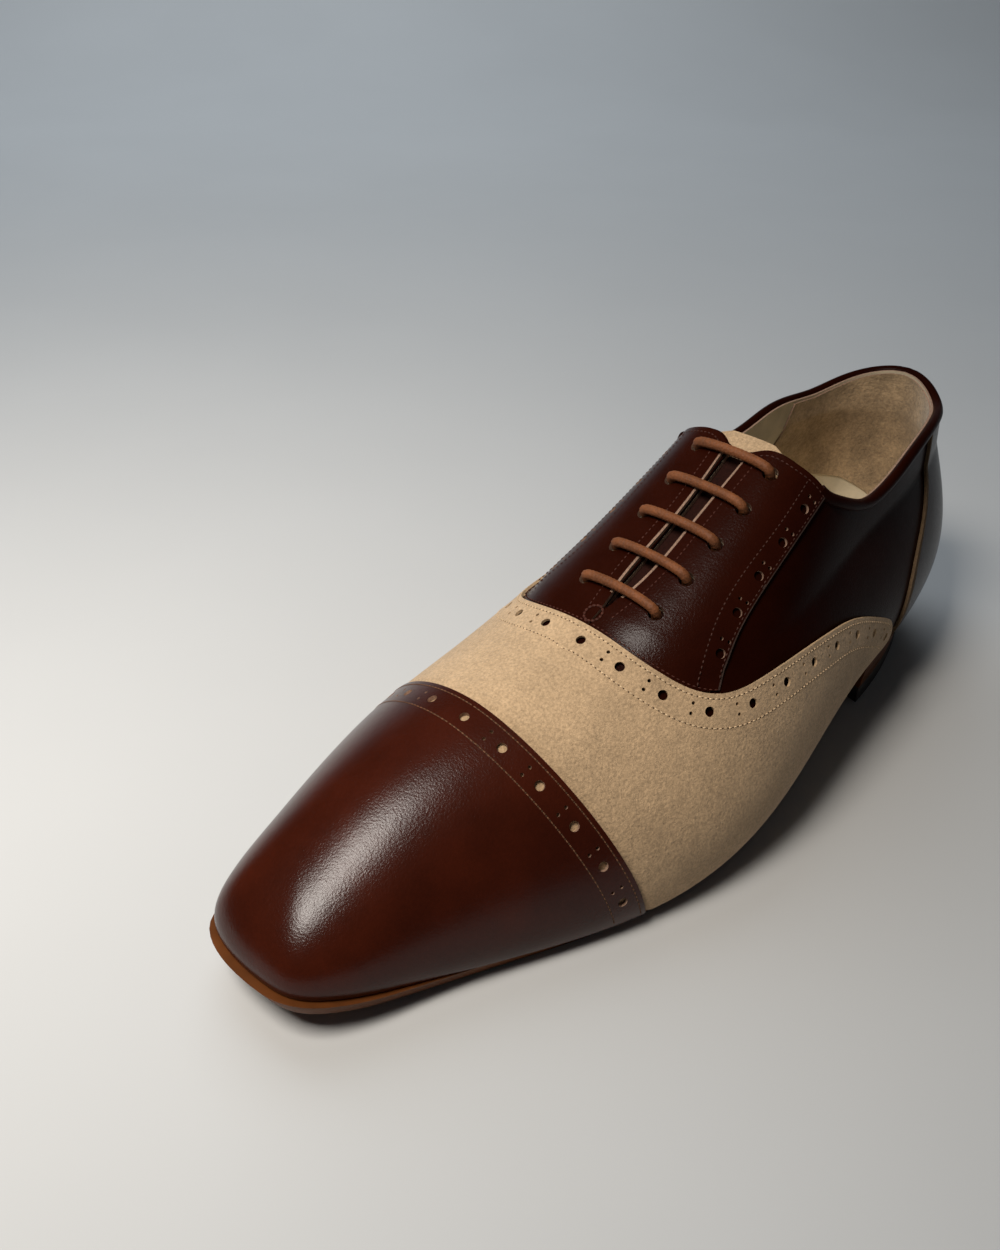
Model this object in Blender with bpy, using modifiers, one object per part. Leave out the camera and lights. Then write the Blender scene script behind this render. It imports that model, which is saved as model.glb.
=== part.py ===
"""Two-tone spectator shoe, the left one of a pair, built over a last.

Stations run in millimetres from the heel back (0) to the toe tip (LENGTH) and x runs to the
outer, lateral side. On a wall, rise runs from the feather, where it meets the sole (0), to the
crest along the middle of the instep (1). In the world the toe points to -Y and +X is lateral.
"""
import bmesh
import bpy
import numpy as np
from mathutils import Vector

MM = 0.001

# Driving sizes, in millimetres
LENGTH = 300.0
MID_STATION = 148.8
MID_X = 7.0
CLEARANCE = 0.35
SOLE_THICK = 4.6
SOLE_BEVEL = 2.2
INSOLE_THICK = 3.0
INSOLE_INSET = 3.4
HEEL_BREAST = 72.0
BREAST_HOLLOW = 4.0
HEEL_LIFT = 6.0
HEEL_TAPER = 1.5
TONGUE_THICK = 1.8
LACE_RADIUS = 1.4
LACE_TAIL = 1.2
EYELET_RADIUS = 2.3
EYELET_ROWS = 5
FIRST_ROW = 172.5
ROW_STEP = 11.5
EYELET_REACH = 13.0
WELD = 0.00001

# Heights of each layer's two faces over the last's surface
QUARTER_FACE = -1.0
WALL = 2.0
OVERLAY_BACK = QUARTER_FACE + CLEARANCE
VAMP_BACK = OVERLAY_BACK + 0.3
FACING_FACE = 0.1
COUNTER_FACE = 0.1
VAMP_FACE = 0.5
CAP_FACE = 1.0
TONGUE_FACE = QUARTER_FACE - WALL - CLEARANCE
LACE_LINE = FACING_FACE + CLEARANCE + LACE_RADIUS

# The last's feather line in plan: station, x
LATERAL = np.array([
    (300, 0), (299.4, 9), (297, 17.3), (290, 23), (272, 30), (246, 39.5), (218, 50), (190, 57),
    (160, 57.5), (128, 51), (95, 44), (60, 38.5), (30, 30), (10, 19), (0, 0)], float)
MEDIAL = np.array([
    (300, 0), (299.4, -7), (297, -13.5), (290, -19), (272, -27), (246, -37.5), (222, -44.5),
    (198, -45.5), (168, -40), (134, -31.5), (95, -27), (60, -27), (30, -25.5), (10, -18),
    (0, 0)], float)
# Feather's height over the floor: station, z
FLOOR = np.array([
    (0, 24), (50, 22.5), (90, 20), (130, 13.3), (165, 7.6), (195, 4.6), (225, 4.6), (255, 6.4),
    (280, 9.9), (300, 14.5)], float)
# Crest of the instep, carried on up the leg: station, z, x
CREST = np.array([
    (40, 170, 4), (65, 152, 6.5), (90, 130.5, 9), (112, 113, 11), (132, 99.5, 11.5),
    (152, 87, 11.3), (172, 75.5, 10.2), (192, 65.5, 8), (212, 59.3, 5.2), (235, 53.5, 2.2),
    (256, 46.5, -0.2), (278, 37, -2), (300, 27, -3.5)], float)
HEEL_CREST = 42.0
TOE_CREST = 278.0
# Roundness of the sections: station, power across, power upward
ROUND = np.array([
    (0, 2.6, 1.9), (60, 2.6, 1.9), (110, 3.0, 2.5), (150, 2.7, 2.4), (190, 2.1, 2.0),
    (240, 1.9, 1.9), (300, 2.2, 2.4)], float)
# How far the walls swell past the feather: station, lateral, medial
SWELL = np.array([
    (0, 6.4, 6.4), (40, 7.5, 6), (90, 7.4, 5), (130, 6.5, 4), (190, 4, 4), (240, 2.3, 2.3),
    (300, 1.7, 1.7)], float)
SWELL_HEIGHT = 55.0
# How far the outsole stands out from the feather: station, lateral, medial
SOLE_MARGIN = np.array([
    (0, 1, 1), (60, 0.8, 0.8), (110, 0, 0.2), (160, -0.8, 0.6), (205, -0.4, 1.4), (250, 0.8, 2.2),
    (285, 3, 3.2), (300, 3.6, 3.6)], float)
# Upper's top edge behind the throat: feather station, edge station, lateral rise, medial rise
TOP_EDGE = np.array([
    (178, 178, 1, 1), (172, 173, 0.985, 0.985), (150, 150, 0.985, 0.985),
    (130, 127, 0.985, 0.985), (125, 123.5, 0.978, 0.978), (120, 121, 0.93, 0.93),
    (114, 119.2, 0.80, 0.80), (109, 116.8, 0.69, 0.69), (104, 113.8, 0.585, 0.59),
    (97, 104, 0.465, 0.46), (86, 91, 0.38, 0.37), (73, 75, 0.353, 0.335),
    (59, 60, 0.352, 0.337), (45, 46, 0.345, 0.327), (30, 30, 0.325, 0.304),
    (16, 16, 0.30, 0.294), (7, 7, 0.29, 0.291), (0, 0, 0.289, 0.289)], float)
# Cap's rear edge: station at the feather and how much farther forward it lies at the crest
CAP_FEATHER = 206.0
CAP_BOW = 16.0
# Vamp's wing line from the throat to the rounded end by the heel: station, rise
WING = np.array([
    (185, 1), (184, 0.8), (181, 0.67), (177.6, 0.59), (170, 0.5), (157, 0.425), (143, 0.356),
    (125, 0.27), (110, 0.21), (97, 0.16), (86, 0.123), (79, 0.09), (76, 0.055)], float)
# Facing's edges at its top, rear, front and lacing gap: station, rise
FACING_TOP = np.array([
    (124.5, 0.98), (122, 0.94), (120.6, 0.87), (119.4, 0.78), (117, 0.68), (115, 0.595)], float)
FACING_REAR = np.array([
    (115, 0.595), (133, 0.613), (149, 0.616), (160, 0.589), (168.5, 0.53)], float)
FACING_FRONT = np.array([
    (168.5, 0.53), (173, 0.565), (177, 0.61), (180.2, 0.68), (182.8, 0.8), (184, 0.9),
    (184.4, 0.996)], float)
FACING_GAP = np.array([
    (184.4, 0.996), (179, 0.995), (172, 0.985), (150, 0.985), (124.5, 0.98)], float)
# Counter's front edge: part of the wall's height, station
COUNTER_EDGE = np.array([(0, 69), (0.37, 65), (0.53, 57.5), (0.66, 47), (1, 38)], float)
WALL_ROWS = 10
COUNTER_TOP = (WALL_ROWS - 2) / (WALL_ROWS - 1)
# Tongue: station, half width
TONGUE = np.array([(188, 13), (170, 16), (140, 19), (126, 20), (121, 17.5), (118.5, 8)], float)

BROWN = (0.055, 0.014, 0.009)
SUEDE = (0.46, 0.32, 0.18)
LACE = (0.22, 0.06, 0.02)
LINING = (0.5, 0.4, 0.26)
NATURAL = (0.3, 0.1, 0.03)
RUBBER = (0.02, 0.015, 0.012)


def spline(rows, place):
    """Natural cubic spline through a table whose first column is the place."""
    knots = rows[:, 0]
    values = rows[:, 1:]
    step = np.diff(knots)
    count = len(knots)
    system = np.eye(count)
    right = np.zeros_like(values)
    for i in range(1, count - 1):
        system[i, i - 1:i + 2] = (step[i - 1], 2 * (step[i - 1] + step[i]), step[i])
        right[i] = 6 * ((values[i + 1] - values[i]) / step[i] - (values[i] - values[i - 1]) / step[i - 1])
    bend = np.linalg.solve(system, right)
    place = np.clip(np.asarray(place, float), knots[0], knots[-1])
    i = np.clip(np.searchsorted(knots, place) - 1, 0, count - 2)
    width = step[i][..., None]
    far = ((place - knots[i]) / step[i])[..., None]
    near = 1 - far
    curve = (near ** 3 - near) * bend[i] + (far ** 3 - far) * bend[i + 1]
    return near * values[i] + far * values[i + 1] + width ** 2 / 6 * curve


def path(rows, part):
    """Smooth path through the rows in order, from part 0 to part 1."""
    lengths = np.hypot(np.diff(rows[:, 0]), 60 * np.diff(rows[:, 1]))
    along = np.concatenate([[0], np.cumsum(lengths)])
    return spline(np.column_stack([along / along[-1], rows]), part)


def feather(side, s):
    """Station and x on the feather line, s 0 at the toe tip and 1 at the heel back."""
    rows = LATERAL if side > 0 else MEDIAL
    across = np.array([1, -1])
    loop = np.concatenate([rows[3:0:-1] * across, rows, rows[-2:-5:-1] * across])
    along = np.concatenate([[0], np.cumsum(np.hypot(*np.diff(loop, axis=0).T))])
    toe = along[3]
    heel = along[2 + len(rows)]
    return spline(np.column_stack([along, loop]), toe + (heel - toe) * np.asarray(s, float))


def s_at(side, station):
    """Place along the feather line at a station."""
    s = np.linspace(0, 1, 1200)
    return np.interp(station, feather(side, s)[::-1, 0], s[::-1])


def same_stations(side, s):
    """Places on one side that lie at the stations of the lateral side's places."""
    return s if side > 0 else s_at(side, feather(1, s)[..., 0])


def soft_limit(value, low, high, ease=6.0):
    """Value eased so that it never passes the two limits."""
    raised = low + ease * np.logaddexp(0, (value - low) / ease)
    return high - ease * np.logaddexp(0, (high - raised) / ease)


def last_point(side, s, rise):
    """Station, x and z on the last's surface."""
    s, rise = np.broadcast_arrays(np.asarray(s, float), np.asarray(rise, float))
    foot = feather(side, s)
    station = foot[..., 0]
    top = soft_limit(station, HEEL_CREST, TOE_CREST)
    low = spline(FLOOR, station)[..., 0]
    crest = spline(CREST, top)
    slope = (spline(CREST, top + 0.5) - spline(CREST, top - 0.5))[..., 0]
    power = spline(ROUND, station)
    swell = spline(SWELL, station)[..., 0 if side > 0 else 1]
    turn = rise * np.pi / 2
    inward = 1 - np.cos(turn) ** (2 / power[..., 0])
    upward = np.sin(turn) ** (2 / power[..., 1])
    run_a = top - station
    run_x = crest[..., 1] - foot[..., 1]
    run = np.hypot(run_a, run_x) + 1e-9
    tilt = slope * run_a
    z = low + (crest[..., 0] - low - tilt) * upward + tilt * inward
    part = np.clip((z - low) / np.minimum(SWELL_HEIGHT, crest[..., 0] - low), 0, 1)
    out = swell * np.sin(np.pi * part ** 0.75)
    return np.stack([station + run_a * (inward - out / run),
                     foot[..., 1] + run_x * (inward - out / run), z], -1)


def last_normal(side, s, rise):
    """Outward direction, upright at the crest and level at the feather."""
    small = 0.002
    s, rise = np.broadcast_arrays(np.asarray(s, float), np.asarray(rise, float))
    below = np.clip(rise - small, 0, 1)
    above = np.clip(rise + small, 0, 1)
    along = last_point(side, s + small, rise) - last_point(side, s - small, rise)
    upward = last_point(side, s, above) - last_point(side, s, below)
    normal = np.cross(along, upward) * side
    station = last_point(side, s, np.ones_like(rise))[..., 0]
    slope = (spline(CREST, station + 0.5) - spline(CREST, station - 0.5))[..., 0]
    crown = np.stack([-slope, np.zeros_like(slope), np.ones_like(slope)], -1)
    normal = np.where(rise[..., None] > 0.9999, crown, normal)
    height = last_point(side, s, rise)[..., 2] - last_point(side, s, 0 * rise)[..., 2]
    normal[..., 2] *= np.clip(height / 10, 0, 1)
    return normal / np.linalg.norm(normal, axis=-1, keepdims=True)


def world(points):
    """World metres from stations, x and z in millimetres."""
    return np.stack([points[..., 1] - MID_X, MID_STATION - points[..., 0], points[..., 2]], -1) * MM


def skin(side, s, rise, height):
    """World points at a height over the last's surface."""
    return world(last_point(side, s, rise) + last_normal(side, s, rise) * height)


def add_faces(bm, outer, inner, back):
    """Quads over a grid of points, each vertex keeping its twin's place on the inner face."""
    rows = []
    for line, under in zip(outer, inner):
        row = []
        for point, below in zip(line, under):
            vert = bm.verts.new(point)
            vert[back] = below
            row.append(vert)
        rows.append(row)
    for near, far in zip(rows, rows[1:]):
        for i in range(len(near) - 1):
            bm.faces.new((near[i], near[i + 1], far[i + 1], far[i]))


def new_object(name, bm, colour, roughness):
    """Object from a bmesh, with its own material, in the shoe's collection."""
    mesh = bpy.data.meshes.new(name)
    bm.to_mesh(mesh)
    bm.free()
    material = bpy.data.materials.new(name)
    material.use_nodes = True
    shader = material.node_tree.nodes["Principled BSDF"]
    shader.inputs["Base Color"].default_value = (*colour, 1)
    shader.inputs["Roughness"].default_value = roughness
    mesh.materials.append(material)
    thing = bpy.data.objects.new(name, mesh)
    bpy.data.collections["spectator_shoe"].objects.link(thing)
    return thing


def solid_between(name, patches, colour, roughness):
    """Closed solid between the outer and inner grids of its patches, which are welded where they meet."""
    bm = bmesh.new()
    back = bm.verts.layers.float_vector.new("back")
    for outer, inner in patches:
        add_faces(bm, outer, inner, back)
    bmesh.ops.remove_doubles(bm, verts=bm.verts, dist=WELD)
    bmesh.ops.dissolve_degenerate(bm, edges=bm.edges, dist=WELD)
    bmesh.ops.recalc_face_normals(bm, faces=bm.faces)
    front = list(bm.faces)
    rim = [edge for edge in bm.edges if edge.is_boundary]
    twin = {vert: bm.verts.new(vert[back]) for vert in list(bm.verts)}
    for face in front:
        bm.faces.new([twin[vert] for vert in reversed(face.verts)])
    for edge in rim:
        start, end = edge.verts
        bm.faces.new((start, end, twin[end], twin[start]))
    bmesh.ops.recalc_face_normals(bm, faces=bm.faces)
    return new_object(name, bm, colour, roughness)


def overlay(name, halves, face, colour, roughness, back=OVERLAY_BACK):
    """Leather layer over the quarters, from a (side, s, rise) grid for each half."""
    patches = []
    for side, s, rise in halves:
        patches.append((skin(side, s, rise, face), skin(side, s, rise, back)))
    return solid_between(name, patches, colour, roughness)


def spaced_from_toe(dense, coarse, part=0.35):
    """Parts 0 to 1 with more of them near the toe, where the outline turns sharply."""
    near = np.linspace(0, part, dense, endpoint=False)
    return np.concatenate([near, np.linspace(part, 1, coarse)])


def upper_half(side):
    """Grid of s and rise over one half of the upper, toe to heel."""
    front = same_stations(side, spaced_from_toe(8, 8) * s_at(1, TOP_EDGE[0, 0]))
    rows = TOP_EDGE[:, [0, 1, 2 if side > 0 else 3]]
    rank = np.arange(len(rows))
    rear = spline(np.column_stack([rank, rows]), np.linspace(0, rank[-1], 27)[1:])
    low = np.concatenate([front, s_at(side, rear[:, 0])])
    high = np.concatenate([front, s_at(side, rear[:, 1])])
    top = np.concatenate([np.ones(len(front)), np.clip(rear[:, 2], 0, 0.99)])
    part = np.linspace(0, 1, WALL_ROWS)[None, :]
    s = low[:, None] + (high - low)[:, None] * part ** 1.5
    return s, top[:, None] * part


def build_upper():
    """Quarters and lining as one hollow wall, open at the collar, the lacing gap and underneath."""
    bm = bmesh.new()
    back = bm.verts.layers.float_vector.new("back")
    for side in (1, -1):
        s, rise = upper_half(side)
        points = skin(side, s, rise, QUARTER_FACE)
        add_faces(bm, points, points, back)
    bmesh.ops.remove_doubles(bm, verts=bm.verts, dist=WELD)
    bmesh.ops.dissolve_degenerate(bm, edges=bm.edges, dist=WELD)
    bmesh.ops.recalc_face_normals(bm, faces=bm.faces)
    bm.normal_update()
    crown = max(bm.faces, key=lambda face: face.normal.z ** 2)
    if crown.normal.z < 0:
        bmesh.ops.reverse_faces(bm, faces=bm.faces)
    upper = new_object("upper", bm, BROWN, 0.3)
    wall = upper.modifiers.new("wall", "SOLIDIFY")
    wall.thickness = WALL * MM
    wall.offset = -1
    return upper


def cap_station(rise):
    """Station of the cap's rear edge."""
    return CAP_FEATHER + CAP_BOW * np.sin(rise * np.pi / 2)


def build_toe_cap():
    """Straight-edged cap around the toe."""
    halves = []
    for side in (1, -1):
        rise = np.linspace(0, 1, WALL_ROWS)[None, :]
        part = spaced_from_toe(9, 9)[:, None]
        s = same_stations(side, part * s_at(1, cap_station(rise)))
        halves.append((side, s, np.broadcast_to(rise, s.shape)))
    overlay("toe_cap", halves, CAP_FACE, BROWN, 0.2)


def build_vamp():
    """Suede vamp from the cap over the ball, with a wing along each side."""
    halves = []
    for side in (1, -1):
        part = np.linspace(0, 1, 28)[:, None]
        rise = np.linspace(0, 1, WALL_ROWS)[None, :]
        crest_share = 0.24
        wing = path(WING, np.clip((part - crest_share) / (1 - crest_share), 0, 1))[:, 0]
        on_crest = np.clip(part / crest_share, 0, 1)
        cap_crest = CAP_FEATHER + CAP_BOW
        top_station = np.where(part < crest_share, cap_crest + (WING[0, 0] - cap_crest) * on_crest, wing[:, :1])
        top_rise = np.where(part < crest_share, 1, np.minimum(wing[:, 1:], 1))
        low_station = CAP_FEATHER + (WING[-1, 0] - CAP_FEATHER) * part
        bow = (cap_station(rise) - CAP_FEATHER - CAP_BOW * rise) * (1 - part)
        station = low_station + (top_station - low_station) * rise + bow
        halves.append((side, s_at(side, station - CLEARANCE), top_rise * rise))
    overlay("vamp", halves, VAMP_FACE, SUEDE, 0.9, back=VAMP_BACK)


def between_edges(gap, top, rear, front, along, across):
    """Grid of station and rise blended from four edges that meet at their ends."""
    u = np.linspace(0, 1, along)
    v = np.linspace(0, 1, across)
    inner = path(gap, u)
    outer = path(rear[::-1], u)
    start = path(front[::-1], v)
    end = path(top, v)
    u = u[:, None, None]
    v = v[None, :, None]
    ruled = (1 - v) * inner[:, None] + v * outer[:, None]
    ends = (1 - u) * start[None] + u * end[None]
    corners = ((1 - u) * ((1 - v) * inner[0] + v * outer[0])
               + u * ((1 - v) * inner[-1] + v * outer[-1]))
    return ruled + ends - corners


def build_facing(name, side):
    """Eyestay along one side of the lacing gap, from the throat to the collar."""
    grid = between_edges(FACING_GAP, FACING_TOP, FACING_REAR, FACING_FRONT, 12, 8)
    halves = [(side, s_at(side, grid[..., 0]), grid[..., 1])]
    return overlay(name, halves, FACING_FACE, BROWN, 0.25)


def build_counter():
    """Counter around the heel, its front edges sloping forward to the sole."""
    halves = []
    for side in (1, -1):
        part = np.linspace(0, 1, 15)[:, None]
        level = np.linspace(0, COUNTER_TOP, WALL_ROWS - 1)[None, :]
        edge = s_at(side, spline(COUNTER_EDGE, level)[..., 0])
        s = 1 - (1 - edge) * part
        column = 2 if side > 0 else 3
        rim = np.interp(feather(side, s)[..., 0], TOP_EDGE[::-1, 1], TOP_EDGE[::-1, column])
        halves.append((side, s, level * rim))
    overlay("heel_counter", halves, COUNTER_FACE, BROWN, 0.25)


def eyelet(side, row):
    """s and rise of an eyelet's middle."""
    s = s_at(side, FIRST_ROW - ROW_STEP * row)
    rise = np.linspace(0.5, 1, 300)
    across = np.abs(last_point(side, s, rise)[:, 1] - last_point(side, s, 1)[1])
    return s, np.interp(-EYELET_REACH, -across, rise)


def build_eyelet_cutters():
    """Ten punches square to the facings, joined in one cutter."""
    bm = bmesh.new()
    for side in (1, -1):
        for row in range(EYELET_ROWS):
            s, rise = eyelet(side, row)
            turn = Vector((0, 0, 1)).rotation_difference(Vector(world_direction(side, s, rise)))
            place = turn.to_matrix().to_4x4()
            place.translation = Vector(skin(side, s, rise, QUARTER_FACE))
            bmesh.ops.create_cone(bm, cap_ends=True, segments=8, radius1=EYELET_RADIUS * MM,
                                  radius2=EYELET_RADIUS * MM, depth=9 * MM, matrix=place)
    mesh = bpy.data.meshes.new("eyelet_punches")
    bm.to_mesh(mesh)
    bm.free()
    punches = bpy.data.objects.new("eyelet_punches", mesh)
    punches.hide_render = True
    punches.display_type = "WIRE"
    bpy.data.collections["cutters"].objects.link(punches)
    return punches


def world_direction(side, s, rise):
    """Outward direction in the world."""
    station, x, z = last_normal(side, s, rise)
    return x, -station, z


def punch(thing, punches):
    """Cut the eyelets through a piece."""
    cut = thing.modifiers.new("eyelets", "BOOLEAN")
    cut.operation = "DIFFERENCE"
    cut.solver = "EXACT"
    cut.object = punches


def build_lace_bar(row):
    """One straight bar of the lace, with its ends turned down into a pair of eyelets."""
    ends = [eyelet(side, row) for side in (1, -1)]
    points = []
    for (s, rise), side, order in zip(ends, (1, -1), (1, -1)):
        bend = LACE_RADIUS * 1.3
        middle = Vector(skin(side, s, rise, LACE_LINE))
        down = -Vector(world_direction(side, s, rise))
        inner = Vector(skin(side, s, rise + (1 - rise) * 0.3, LACE_LINE)) - middle
        inner.normalize()
        arm = [middle + down * (bend + LACE_TAIL) * MM]
        for turn in np.radians((0, 45, 90)):
            arm.append(middle + (inner * (bend - bend * np.cos(turn)) + down * (bend - bend * np.sin(turn))) * MM)
        over = np.linspace(0.4, 0.95, 3)
        arm += [Vector(skin(side, s, rise + (1 - rise) * part, LACE_LINE)) for part in over]
        points.append(arm)
    route = points[0] + points[1][::-1]
    curve = bpy.data.curves.new(f"lace_bar_{row + 1}", "CURVE")
    curve.dimensions = "3D"
    curve.bevel_depth = LACE_RADIUS * MM
    curve.bevel_resolution = 2
    curve.use_fill_caps = True
    line = curve.splines.new("POLY")
    line.points.add(len(route) - 1)
    for knot, point in zip(line.points, route):
        knot.co = (*point, 1)
    material = bpy.data.materials.new(curve.name)
    material.use_nodes = True
    shader = material.node_tree.nodes["Principled BSDF"]
    shader.inputs["Base Color"].default_value = (*LACE, 1)
    shader.inputs["Roughness"].default_value = 0.5
    curve.materials.append(material)
    bar = bpy.data.objects.new(curve.name, curve)
    bpy.data.collections["spectator_shoe"].objects.link(bar)


def build_tongue():
    """Tongue under the lacing gap, rounded at its top."""
    ahead = TONGUE[::-1]
    stations = TONGUE[0, 0] + (TONGUE[-1, 0] - TONGUE[0, 0]) * np.linspace(0, 1, 12) ** 0.7
    width = spline(ahead, stations)[:, 0]
    patches = []
    for side in (1, -1):
        s = s_at(side, stations)
        rise = np.linspace(0.3, 1, 400)
        across = np.abs(last_point(side, s[:, None], rise)[..., 1] - last_point(side, s, 1)[:, None, 1])
        part = np.linspace(0, 1, 6)
        grid = np.array([np.interp(-width[i] * (1 - part), -across[i], rise) for i in range(len(s))])
        s = np.broadcast_to(s[:, None], grid.shape)
        patches.append((side, s, grid))
    overlay("tongue", patches, TONGUE_FACE, SUEDE, 0.9, back=TONGUE_FACE - TONGUE_THICK)


def plan_edge(side, s, margin):
    """Station and x at a margin outside the feather line."""
    small = 0.001
    along = feather(side, s + small) - feather(side, s - small)
    out = np.stack([along[..., 1], -along[..., 0]], -1) * side
    out /= np.linalg.norm(out, axis=-1, keepdims=True)
    return feather(side, s) + out * np.asarray(margin)[..., None]


def plate(name, edges, top, bottom, colour, roughness, hollow=0.0, foot_inset=0.0):
    """Solid between two heights, from the lateral and medial edges of its plan."""
    across = np.linspace(0, 1, 5)[None, :, None]
    grids = []
    for inset, height in ((0.0, top), (foot_inset, bottom)):
        lateral = edges(1, inset)
        medial = edges(-1, inset)
        plan = lateral[:, None] + (medial - lateral)[:, None] * across
        fade = np.linspace(1, 0, len(plan))[:, None] ** 4
        plan[..., 0] -= hollow * fade * 4 * (across * (1 - across))[..., 0]
        grids.append(world(np.concatenate([plan, height(plan[..., 0])[..., None]], -1)))
    solid_between(name, [tuple(grids)], colour, roughness)


def floor_at(station):
    """Feather's height, the outsole's upper face being just under it."""
    return spline(FLOOR, station)[..., 0]


def sole_under(station):
    """Outsole's underside, flat on the floor under the ball."""
    return np.maximum(floor_at(station) - SOLE_THICK, 0)


def sole_edge(side, inset):
    """Outsole's outline on one side."""
    s = spaced_from_toe(14, 18)
    margin = spline(SOLE_MARGIN, feather(side, s)[:, 0])[:, 0 if side > 0 else 1]
    return plan_edge(side, s, margin - inset)


def heel_edge(side, inset):
    """Heel's outline on one side, from the breast to the back."""
    s = np.linspace(s_at(side, HEEL_BREAST), 1, 12)
    margin = spline(SOLE_MARGIN, feather(side, s)[:, 0])[:, 0 if side > 0 else 1]
    return plan_edge(side, s, margin - 0.4 - inset)


def insole_edge(side, inset):
    """Insole's outline on one side, just inside the wall."""
    s = spaced_from_toe(10, 12)
    return plan_edge(side, s, np.full(len(s), -INSOLE_INSET - inset))


def build_bottom():
    """Outsole, insole and heel."""
    level = np.ones_like
    plate("outsole", sole_edge, lambda a: floor_at(a) - CLEARANCE, sole_under, NATURAL, 0.5,
          foot_inset=SOLE_BEVEL)
    plate("insole", insole_edge, lambda a: floor_at(a) + INSOLE_THICK, lambda a: floor_at(a) + 0.05,
          LINING, 0.7)
    plate("heel_stack", heel_edge, lambda a: sole_under(a) - CLEARANCE,
          lambda a: level(a) * (HEEL_LIFT + CLEARANCE), NATURAL, 0.5, BREAST_HOLLOW, HEEL_TAPER)
    plate("heel_top_piece", lambda side, inset: heel_edge(side, HEEL_TAPER), lambda a: level(a) * HEEL_LIFT,
          lambda a: 0 * a, RUBBER, 0.6, BREAST_HOLLOW)


def main():
    """Build every piece of the shoe."""
    for thing in list(bpy.data.objects):
        bpy.data.objects.remove(thing)
    for name in ("spectator_shoe", "cutters"):
        bpy.context.scene.collection.children.link(bpy.data.collections.new(name))
    build_bottom()
    upper = build_upper()
    build_toe_cap()
    build_vamp()
    lateral = build_facing("facing_lateral", 1)
    medial = build_facing("facing_medial", -1)
    build_counter()
    build_tongue()
    punches = build_eyelet_cutters()
    for thing in (upper, lateral, medial):
        punch(thing, punches)
    for row in range(EYELET_ROWS):
        build_lace_bar(row)


main()
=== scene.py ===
"""Spectator shoe: leather, suede, lining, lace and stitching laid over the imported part.

Stations run in millimetres from the heel back (0) to the toe tip. On a wall, rise runs from the
sole (0) to the crest of the instep (1). Heights are millimetres over the last's surface. In the
scene the toe points to -Y and +X is the outer, lateral side.
"""
import math

import bmesh
import bpy
import numpy as np
from bpy.props import FloatProperty, FloatVectorProperty, PointerProperty
from mathutils import Matrix, Vector

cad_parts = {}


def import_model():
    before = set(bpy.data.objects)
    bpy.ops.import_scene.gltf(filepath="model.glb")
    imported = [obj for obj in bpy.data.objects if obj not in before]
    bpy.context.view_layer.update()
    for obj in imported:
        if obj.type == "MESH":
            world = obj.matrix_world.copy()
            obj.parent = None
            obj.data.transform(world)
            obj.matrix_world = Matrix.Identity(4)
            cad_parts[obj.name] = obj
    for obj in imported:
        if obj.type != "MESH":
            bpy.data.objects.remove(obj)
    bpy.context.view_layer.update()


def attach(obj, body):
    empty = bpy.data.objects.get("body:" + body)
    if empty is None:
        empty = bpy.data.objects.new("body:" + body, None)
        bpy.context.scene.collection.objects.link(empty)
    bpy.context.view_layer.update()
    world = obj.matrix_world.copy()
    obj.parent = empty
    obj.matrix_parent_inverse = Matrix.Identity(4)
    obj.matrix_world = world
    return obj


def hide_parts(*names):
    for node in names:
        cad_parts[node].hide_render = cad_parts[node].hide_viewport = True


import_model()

bl_info = {
    "name": "Spectator shoe",
    "version": (1, 0, 0),
    "blender": (4, 5, 0),
    "location": "View3D > Sidebar > Shoe",
    "description": "Builds a two-tone dress shoe over its packed part",
    "category": "Object",
}

MM = 0.001
WELD = 0.00001
# Station and x at the scene's origin, and x and z of a place inside the shoe, in metres
MID_STATION = 148.8
MID_X = 7.0
HEART = (0.0, 0.03)
# Places in a piece's list of finishes
FACE, RIM, HOLE, REAR_HIGHLIGHT = range(4)

# Heights of the layers' faces
QUARTER_FACE = -1.0
FACING_FACE = 0.1
COUNTER_FACE = 0.1
VAMP_FACE = 0.5
CAP_FACE = 1.0
TONGUE_FACE = -3.35
LINING_FACE = -2.2
GRIP_FACE = -3.1
# Dips of the facings under the vamp and of the vamp under the cap, and the vamp's reach there
FACING_DIP = 0.6
VAMP_TUCK = 0.85
VAMP_LAP = 13.0
# Heel grip's thickness, then tops of the grip and the counter as parts of the wall's height
GRIP_WALL = 0.7 * MM
GRIP_TOP = 0.985
COUNTER_TOP = 0.975
# Stations: toe tip, quarters' front, front of the pale band by the gap (raw edge and painted highlight),
# tack, rear of the throat's stitches
TOE_TIP = 300.0
QUARTER_FRONT = 203.0
GAP_FRONT = 174.0
TACK = 181.2
THROAT_REAR = 171.0
# A wall's usual height, and the step between its columns ahead of the throat
WALL_HEIGHT = 60.0
COLUMN_STEP = 1.6

# Lacing: eyelets, then the lace's ends, its clearance over the facings and its braid
EYELET_ROWS = 5
FIRST_ROW = 172.5
ROW_STEP = 11.5
EYELET_REACH = 13.0
LACE_TAIL = 2.4
CLEARANCE = 0.35
BRAID_PITCH = 2.6
BRAID_DEPTH = 0.06
STRANDS = 4

# Rolled collar: where it starts, its depth in the wall and its half sizes
COLLAR_RANK = 7.6
COLLAR_FACE = -1.1
COLLAR_DROP = 0.9
COLLAR_WIDTH = 1.8
COLLAR_HEIGHT = 1.9

# Distances of the stitch rows and the hole rows from the edge
SEAM_ROWS = (1.5, 9.5)
CAP_HOLES = 5.5
WING_HOLES = 5.0
# Bare end of the vamp's stitch rows
WING_KEEP = 6.0
# Step between a facing's holes, and the pinholes' distances along the row and off it
FACING_PITCH = 12.6
PIN_LEAD = 5.2
PIN_SPREAD = 1.45
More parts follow.
